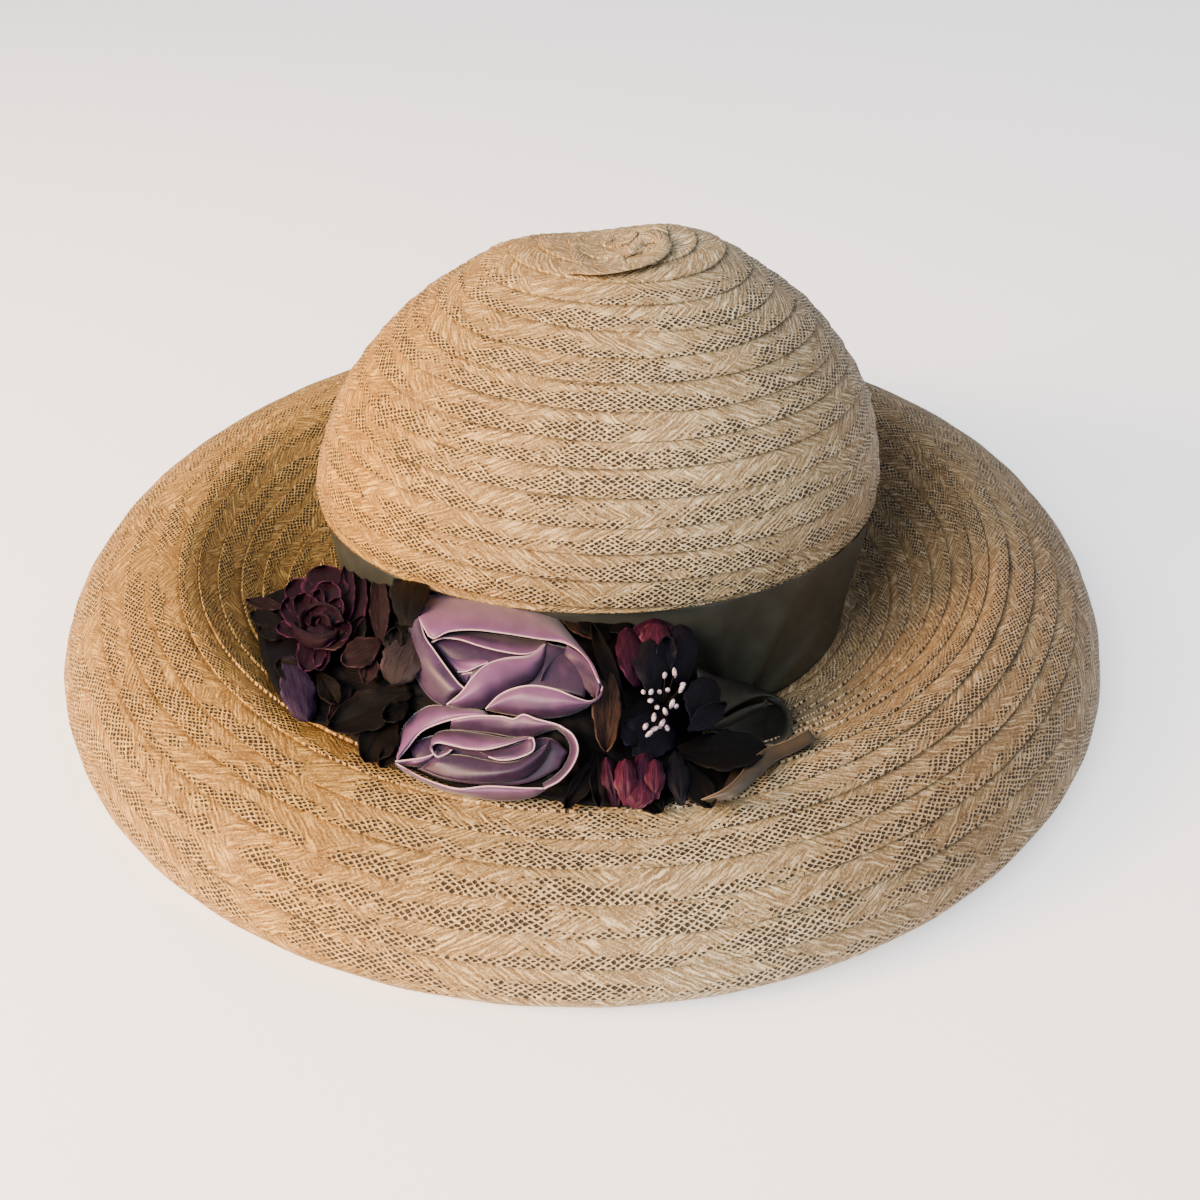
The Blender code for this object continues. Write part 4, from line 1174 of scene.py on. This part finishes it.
class Bed:
    """The smooth surface that the flowers are sewn to, fitted to the solids as the camera sees them."""

    def __init__(self, nodes, middle, half):
        self.middle, self.half = middle, half
        points, faces = [], []
        for name in nodes:
            mesh = bpy.data.objects[name].data
            start = len(points)
            points.extend(v.co.copy() for v in mesh.vertices)
            faces.extend([start + i for i in f.vertices] for f in mesh.polygons)
        tree = BVHTree.FromPolygons(points, faces)
        rows, depths = [], []
        for x in np.linspace(-1, 1, BED_SAMPLES[0]):
            for y in np.linspace(-1, 1, BED_SAMPLES[1]):
                way = self.way(middle[0] + half[0] * x, middle[1] + half[1] * y)
                hit = tree.ray_cast(Vector(CAMERA_AT), Vector(way))[0]
                if hit is not None:
                    rows.append(self.terms(x, y))
                    depths.append((hit - Vector(CAMERA_AT)).length)
        self.fit = np.linalg.lstsq(np.array(rows), np.array(depths), rcond=None)[0]

    @staticmethod
    def way(px, py):
        """Unit direction from the camera through a pixel."""
        down = math.radians(CAMERA_DOWN_DEG)
        right, up = np.array([1.0, 0, 0]), np.array([0, math.sin(down), math.cos(down)])
        ahead = np.array([0, math.cos(down), -math.sin(down)])
        px, py = np.asarray(px, float)[..., None], np.asarray(py, float)[..., None]
        return unit(right * (px - PICTURE / 2) / FOCAL_PX + up * (PICTURE / 2 - py) / FOCAL_PX + ahead)

    @staticmethod
    def terms(x, y):
        """Products of powers of x and y that the smooth depth is a sum of."""
        x, y = np.asarray(x, float), np.asarray(y, float)
        return np.stack([x**i * y**j for i in range(BED_POWERS[0]) for j in range(BED_POWERS[1])], axis=-1)

    def place(self, px, py, lift):
        """Points seen at these pixels, lifted off the bed towards the camera."""
        px, py = np.asarray(px, float), np.asarray(py, float)
        x = np.clip((px - self.middle[0]) / self.half[0], -BED_REACH, BED_REACH)
        y = np.clip((py - self.middle[1]) / self.half[1], -BED_REACH, BED_REACH)
        depth = self.terms(x, y) @ self.fit - lift
        return CAMERA_AT + self.way(px, py) * depth[..., None]


def seen(view, points):
    """Pixels of the picture for points of an enlarged view."""
    return np.array(points, float) / view.scale + (view.left, view.top)


def evenly(points, count):
    """A smooth line through the points, as this many evenly spaced ones."""
    line = smooth(points)
    length = travelled(line)
    wanted = np.linspace(0, length[-1], count)
    return np.column_stack([np.interp(wanted, length, column) for column in line.T])


def facing(grid):
    """The same grid, turned so that its front is towards the camera."""
    towards = CAMERA_AT - grid.mean(axis=(0, 1))
    return grid if (normals(grid) @ towards).mean() > 0 else grid[:, ::-1]


def spread_lifts(t, lifts):
    """Lifts between the few given ones, which stand evenly along an edge."""
    return np.interp(t, np.linspace(0, 1, len(lifts)), lifts)[:, None]


def ribbon_folds(bed, folds, view, bead=None, thickness=None):
    """Lofted strips of ribbon with rounded faces, and a woven selvedge along their free edges."""
    along, across = 40, 13
    s = np.linspace(0, 1, across)[None, :]
    t = np.linspace(0, 1, along)
    ends = np.sin(np.pi * np.clip(t * 6, 0, 0.5) * np.clip((1 - t) * 6, 0, 0.5) * 2)[:, None]
    creases = RIBBON_CREASE * np.sin(9 * t + 5 * s.T).T * np.sin(np.pi * s)
    parts = []
    for fold in folds:
        free, root = (evenly(seen(view, edge), along) for edge in (fold.free, fold.root))
        free_lift, root_lift = (spread_lifts(t, lifts) for lifts in (fold.free_lift, fold.root_lift))
        pixels = free[:, None] * (1 - s[..., None]) + root[:, None] * s[..., None]
        lift = free_lift * (1 - s) + root_lift * s + fold.bulge * ends * np.sin(np.pi * s**0.8) + creases
        grid = bed.place(pixels[..., 0], pixels[..., 1], lift * MM)
        # Painted shade: the fold's tone, deepening towards its root
        values = np.clip(fold.tone + RIBBON_ROOT_SHADE * np.broadcast_to(s**1.3, lift.shape), 0, 1)
        turned = facing(grid)
        values = values if turned is grid else values[:, ::-1]
        parts.append(cloth_part(turned, thickness or ribbon().thickness, values=values))
        if fold.beaded and bead is not None:
            edge = bed.place(free[:, 0], free[:, 1], (free_lift[:, 0] + SELVEDGE_LIFT_MM) * MM)
            parts.append(tube_part(edge, ribbon().selvedge, bead, sides=8))
    return parts


def petal_part(bed, petal, material=0):
    """One pressed petal or leaf, wider than its stem, with cupped edges, a middle crease and a wavy rim."""
    along, across = 22, 15
    base, tip = seen(petal.view, [petal.base, petal.tip])
    way = tip - base
    side = np.array([-way[1], way[0]]) / np.linalg.norm(way)
    t = np.linspace(0, 1, along)[:, None]
    s = np.linspace(-1, 1, across)[None, :]
    seed = petal.base[0] * 0.37 + petal.tip[1] * 0.21

    # Outline: narrow at the stem, rounded or pointed at the tip, and never quite smooth
    spread = np.sin(np.pi * (0.10 + 0.90 * t)) ** petal.blunt
    spread = np.maximum(spread * (0.45 + 0.55 * np.minimum(1, 2.2 * t)), 0.03)
    ragged = 1 + 0.05 * np.sin(23 * t + seed) + 0.03 * np.sin(51 * t + 2 * seed)
    half = petal.width / petal.view.scale / 2
    pixels = base + t[..., None] * way + (s * spread * ragged * half)[..., None] * side

    # Height in mm: its slope, belly and cup, then the pressed crease, the wavy rim and the veins
    lift = petal.lift_base * (1 - t) + petal.lift_tip * t + petal.belly * np.sin(np.pi * t)
    lift = lift + CUPPING * petal.cup * s**2 * t
    lift = lift - 0.8 * np.exp(-((s / 0.12) ** 2)) * np.sin(np.pi * t)
    lift = lift + 0.5 * np.abs(s) ** 3 * np.sin(15 * t + seed)
    lift = lift + 0.18 * np.sin(14 * t - 7 * np.abs(s)) * (1 - np.abs(s))
    grid = facing(bed.place(pixels[..., 0], pixels[..., 1], lift * MM))
    rim = np.maximum(np.abs(s) + 0 * t, np.clip((t - 0.80) / 0.2, 0, 1) + 0 * s)
    return cloth_part(grid, CLOTH_THICKNESS, "rim", rim, material)


def flower_bed():
    return Bed(BED_NODES, middle=(500, 680), half=(290, 150))


class HAT_OT_crown(bpy.types.Operator):
    """Winds the crown's braid down from the tip, and on down the neck under the band"""

    bl_idname = "sun_hat.crown"
    bl_label = "Crown"

    def execute(self, context):
        rows = CROWN.length / straw().pitch
        dome = braid_part(CROWN, rows, BRAID_SHARES, CROWN_PER_TURN, lumps=True)
        neck = braid_part(NECK, NECK_ROWS, NECK_SHARES, NECK_PER_TURN, seed=2.0, sink=NECK_SINK)
        material = sewn_straw_braid()
        mesh_piece("crown_straw", [dome, neck], [material], "straw", ["crown"])
        tip = Bed(["crown"], middle=(615, 255), half=(75, 24))
        loop = ribbon_folds(tip, TIP_LOOP, TIP_VIEW, thickness=TIP_THICKNESS)
        mesh_piece("pinched_tip", loop, [material], "straw")
        return {"FINISHED"}


class HAT_OT_brim(bpy.types.Operator):
    """Winds the brim's braid from the neck out to its tucked rim"""

    bl_idname = "sun_hat.brim"
    bl_label = "Brim"

    def execute(self, context):
        rows = BRIM.length / straw().pitch
        disc = braid_part(BRIM, rows, BRAID_SHARES, BRIM_PER_TURN, seed=1.0)
        mesh_piece("brim_straw", [disc], [bpy.data.materials["sewn_straw_braid"]], "straw", ["brim"])
        return {"FINISHED"}


class HAT_OT_band(bpy.types.Operator):
    """Wraps the satin band round the neck, gathered into soft pleats beside the knot"""

    bl_idname = "sun_hat.band"
    bl_label = "Satin band"

    def execute(self, context):
        around, up = 241, 25
        angle = math.radians(BAND_JOIN_DEG) + np.linspace(0.0, 2 * np.pi, around)[None, :]
        share = np.linspace(0.0, 1.0, up)[:, None]
        off = BAND_FOOT_OFF_MM * MM + (BAND_TOP_OFF_MM - BAND_FOOT_OFF_MM) * MM * share

        # Pleats fan out from a point below the knot, and the satin is a little slack all round
        from_knot = np.radians((np.degrees(angle) - KNOT_AT_DEG + 180) % 360 - 180) * NECK_RADIUS
        above = PLEAT_ROOT_BELOW + BAND_HEIGHT * share
        reach = np.hypot(from_knot, above)
        creases = (1 - np.abs(np.sin(5.2 * np.arctan2(above, from_knot) + 0.5))) ** 1.5
        fade = np.minimum(1, reach / PLEAT_START)
        off = off + PLEAT_DEPTH * np.exp(-reach / PLEAT_REACH) * creases * fade * (1 - share**5)
        off = off + BAND_SLACK * np.sin(3 * angle + 4 * share) * np.sin(np.pi * share)
        width, depth, height, shift, _ = neck_row(share)
        x = shift + (width + off) * np.sin(angle)
        y = -(depth + off) * np.cos(angle)
        grid = np.stack(np.broadcast_arrays(x, y, height), axis=-1)
        outwards = grid[up // 2, around // 2] * (1, 1, 0)
        if normals(grid)[up // 2, around // 2] @ outwards < 0:
            grid = grid[:, ::-1]
        # Its dark colour is the painted shade in the folds of the knot, and also a slow random cast on the
        # band
        satin = woven_satin("olive_satin_ribbon", ribbon().band_colour, linear("#0a0b09"), 0.40)
        sheet = cloth_part(grid, BAND_THICKNESS)
        piece = mesh_piece("satin_band", [sheet], [satin], "olive_satin", ["hat_band"])
        return {"FINISHED"}


class HAT_OT_knot(bpy.types.Operator):
    """Folds the loops where the band is tied, and lays the loose end on the brim"""

    bl_idname = "sun_hat.knot"
    bl_label = "Knot and loose end"

    def execute(self, context):
        bed = Bed(BED_NODES, middle=(715, 735), half=(115, 100))
        satin = bpy.data.materials["olive_satin_ribbon"]
        loops = ribbon_folds(bed, KNOT, RIGHT)
        piece = mesh_piece("satin_knot", loops, [satin], "olive_satin", ["ribbon_knot"])
        # Its dark colour is the painted shade inside the loose end
        pale = woven_satin("faded_satin_end", ribbon().tail_colour, linear("#1d1713"), 0.5)
        edge = woven_selvedge("frayed_brown_thread", linear("#5d4c39"))
        parts = ribbon_folds(bed, TAIL, RIGHT, bead=1)
        piece = mesh_piece("ribbon_end", parts, [pale, edge], "olive_satin", ["ribbon_tail"])
        return {"FINISHED"}


class HAT_OT_roses(bpy.types.Operator):
    """Folds the two mauve roses from wide satin ribbon"""

    bl_idname = "sun_hat.roses"
    bl_label = "Ribbon roses"

    def execute(self, context):
        bed = flower_bed()
        look = ribbon()
        satin = woven_satin("mauve_satin_ribbon", look.rose_colour, look.rose_shade, 0.46, sheen=0.2)
        edge = woven_selvedge("pale_selvedge", look.edge_colour)
        for name, folds, stands_for in (
            ("upper_ribbon_rose", UPPER_ROSE, "mauve_rose_upper"),
            ("lower_ribbon_rose", LOWER_ROSE, "mauve_rose_lower"),
        ):
            parts = ribbon_folds(bed, folds, LEFT, bead=1)
            piece = mesh_piece(name, parts, [satin, edge], "mauve_satin", [stands_for])
        return {"FINISHED"}


class HAT_OT_plum_rose(bpy.types.Operator):
    """Gathers the plum rose from cupped petals"""

    bl_idname = "sun_hat.plum_rose"
    bl_label = "Plum rose"

    def execute(self, context):
        bed = flower_bed()
        parts = [petal_part(bed, petal) for petal in PLUM_ROSE]
        parts += ribbon_folds(bed, PLUM_SWIRL, LEFT, thickness=CLOTH_THICKNESS)
        cloth = dyed_cloth("dyed_plum_cloth")
        piece = mesh_piece("plum_cloth_rose", parts, [cloth], "plum_cloth", ["plum_rose"])
        return {"FINISHED"}


class HAT_OT_buds(bpy.types.Operator):
    """Wraps the two burgundy buds and sets the stamens between them"""

    bl_idname = "sun_hat.buds"
    bl_label = "Buds and stamens"

    def execute(self, context):
        bed = flower_bed()
        # The second cloth is a lighter rosy copy of the first, a painted highlight on some petals
        cloths = [dyed_cloth("dyed_burgundy_cloth"), dyed_cloth("dyed_rosy_cloth")]
        for name, petals, stands_for in (
            ("upper_cloth_bud", UPPER_BUD, "burgundy_bud_upper"),
            ("lower_cloth_bud", LOWER_BUD, "burgundy_bud_lower"),
        ):
            parts = [petal_part(bed, petal, int(petal.name in ROSY_HIGHLIGHT_PETALS)) for petal in petals]
            piece = mesh_piece(name, parts, cloths, "burgundy_cloth", [stands_for])
        wire = dyed_cloth("waxed_black_thread")
        root = bed.place(*seen(RIGHT, STAMEN_ROOT), STAMEN_ROOT_LIFT)
        parts = []
        for tip in STAMENS:
            px, py = seen(RIGHT, (tip.x, tip.y))
            end = bed.place(px, py, STAMEN_LIFT)
            turn = math.radians(tip.turn)
            way = bed.place(px + math.cos(turn), py - math.sin(turn), STAMEN_FAR_END_LIFT) - end
            long = tip.long / RIGHT.scale / 2 * MM_PER_PIXEL * MM
            parts.append(bead_part(end, long, STAMEN_BEAD_RADIUS, way))
            route = evenly([root, (root + end) / 2 + STAMEN_SAG, end], 8)
            parts.append(tube_part(route, STAMEN_WIRE_RADIUS, 1, sides=5))
        mesh_piece("pearl_stamens", parts, [pearl_dip(), wire], "stamen_white", ["stamens"])
        return {"FINISHED"}


class HAT_OT_leaves(bpy.types.Operator):
    """Lays the bed of dark cloth and the leaves and petals round the flowers"""

    bl_idname = "sun_hat.leaves"
    bl_label = "Leaves"

    def execute(self, context):
        bed = flower_bed()
        cloths = {kind: dyed_cloth(kind) for kind in dict.fromkeys(LEAF_CLOTHS.values())}
        outline = evenly(seen(LEFT, BED_OUTLINE + BED_OUTLINE[:1]), 90)
        middle = outline.mean(axis=0)

        # Rings from the outline in to the middle, crumpled by about a millimetre except at the edge
        s = np.linspace(1.0, 0.02, 26)[:, None, None]
        px, py = np.moveaxis(middle + (outline - middle)[None] * s, -1, 0)
        crumple = 1.5 * np.sin(px * 0.35 + 2 * np.sin(py * 0.2)) * np.sin(py * 0.31)
        grid = facing(bed.place(px, py, (0.6 + crumple * (1 - s[..., 0] ** 6)) * MM))
        sheet = cloth_part(grid, BED_THICKNESS)
        black = cloths["dyed_black_cloth"]
        piece = mesh_piece("bed_of_leaves", [sheet], [black], "black_cloth", ["leaf_bed"])
        for solid, petals in LEAVES.items():
            kind = LEAF_CLOTHS[solid]
            parts = [petal_part(bed, petal) for petal in petals]
            piece = mesh_piece(solid + "_cloth", parts, [cloths[kind]], DYES[kind].slot, [solid])
        return {"FINISHED"}


class HAT_OT_stage(bpy.types.Operator):
    """Sets the pale floor, the soft studio light and the camera"""

    bl_idname = "sun_hat.stage"
    bl_label = "Stage and camera"

    def execute(self, context):
        scene = context.scene
        data = bpy.data.cameras.new("camera")
        data.sensor_width = SENSOR_MM
        data.lens = FOCAL_PX / PICTURE * SENSOR_MM
        camera = bpy.data.objects.new("camera", data)
        camera.location = CAMERA_AT
        camera.rotation_euler = (math.radians(90 - CAMERA_DOWN_DEG), 0, 0)
        scene.collection.objects.link(camera)
        scene.camera = camera
        floor = bpy.data.meshes.new("floor")
        corners = [(x * FLOOR_REACH, y * FLOOR_REACH, 0) for x, y in ((-1, -1), (1, -1), (1, 1), (-1, 1))]
        floor.from_pydata(corners, [], [(0, 1, 2, 3)])
        floor.materials.append(matte_paper())
        ground = bpy.data.objects.new("floor", floor)
        scene.collection.objects.link(ground)
        scene.world = bpy.data.worlds.new("studio")
        scene.world.use_nodes = True
        background = scene.world.node_tree.nodes["Background"].inputs
        background["Color"].default_value = (*linear(SKY_COLOUR), 1)
        background["Strength"].default_value = SKY_STRENGTH
        for lamp in LAMPS:
            light = bpy.data.lights.new(lamp.name, "AREA")
            light.energy = lamp.watts
            light.size = lamp.size
            light.color = linear(lamp.colour)
            placed = bpy.data.objects.new(lamp.name, light)
            placed.location = lamp.at
            placed.rotation_euler = (Vector(LAMPS_AIM) - Vector(lamp.at)).to_track_quat("-Z", "Y").to_euler()
            scene.collection.objects.link(placed)
        return {"FINISHED"}


OPERATORS = (
    HAT_OT_stage,
    HAT_OT_crown,
    HAT_OT_brim,
    HAT_OT_band,
    HAT_OT_leaves,
    HAT_OT_knot,
    HAT_OT_roses,
    HAT_OT_plum_rose,
    HAT_OT_buds,
)


class HAT_PT_parts(bpy.types.Panel):
    """Lists the pieces of the hat"""

    bl_idname = "HAT_PT_parts"
    bl_label = "Sun Hat"
    bl_space_type = "VIEW_3D"
    bl_region_type = "UI"
    bl_category = "Sun Hat"

    def draw(self, context):
        for key in SETTINGS:
            group = getattr(context.scene, key)
            for name in group.__annotations__:
                self.layout.prop(group, name)
        for operator in OPERATORS:
            self.layout.operator(operator.bl_idname)


def register():
    for made in (*SETTINGS.values(), *OPERATORS, HAT_PT_parts):
        bpy.utils.register_class(made)
    for key, group in SETTINGS.items():
        setattr(bpy.types.Scene, key, PointerProperty(type=group))


def unregister():
    for key in SETTINGS:
        delattr(bpy.types.Scene, key)
    for made in reversed((*SETTINGS.values(), *OPERATORS, HAT_PT_parts)):
        bpy.utils.unregister_class(made)


def main():
    register()
    bpy.ops.sun_hat.stage()
    bpy.ops.sun_hat.crown()
    bpy.ops.sun_hat.brim()
    bpy.ops.sun_hat.band()
    bpy.ops.sun_hat.leaves()
    bpy.ops.sun_hat.knot()
    bpy.ops.sun_hat.roses()
    bpy.ops.sun_hat.plum_rose()
    bpy.ops.sun_hat.buds()


if __name__ == "__main__":
    main()
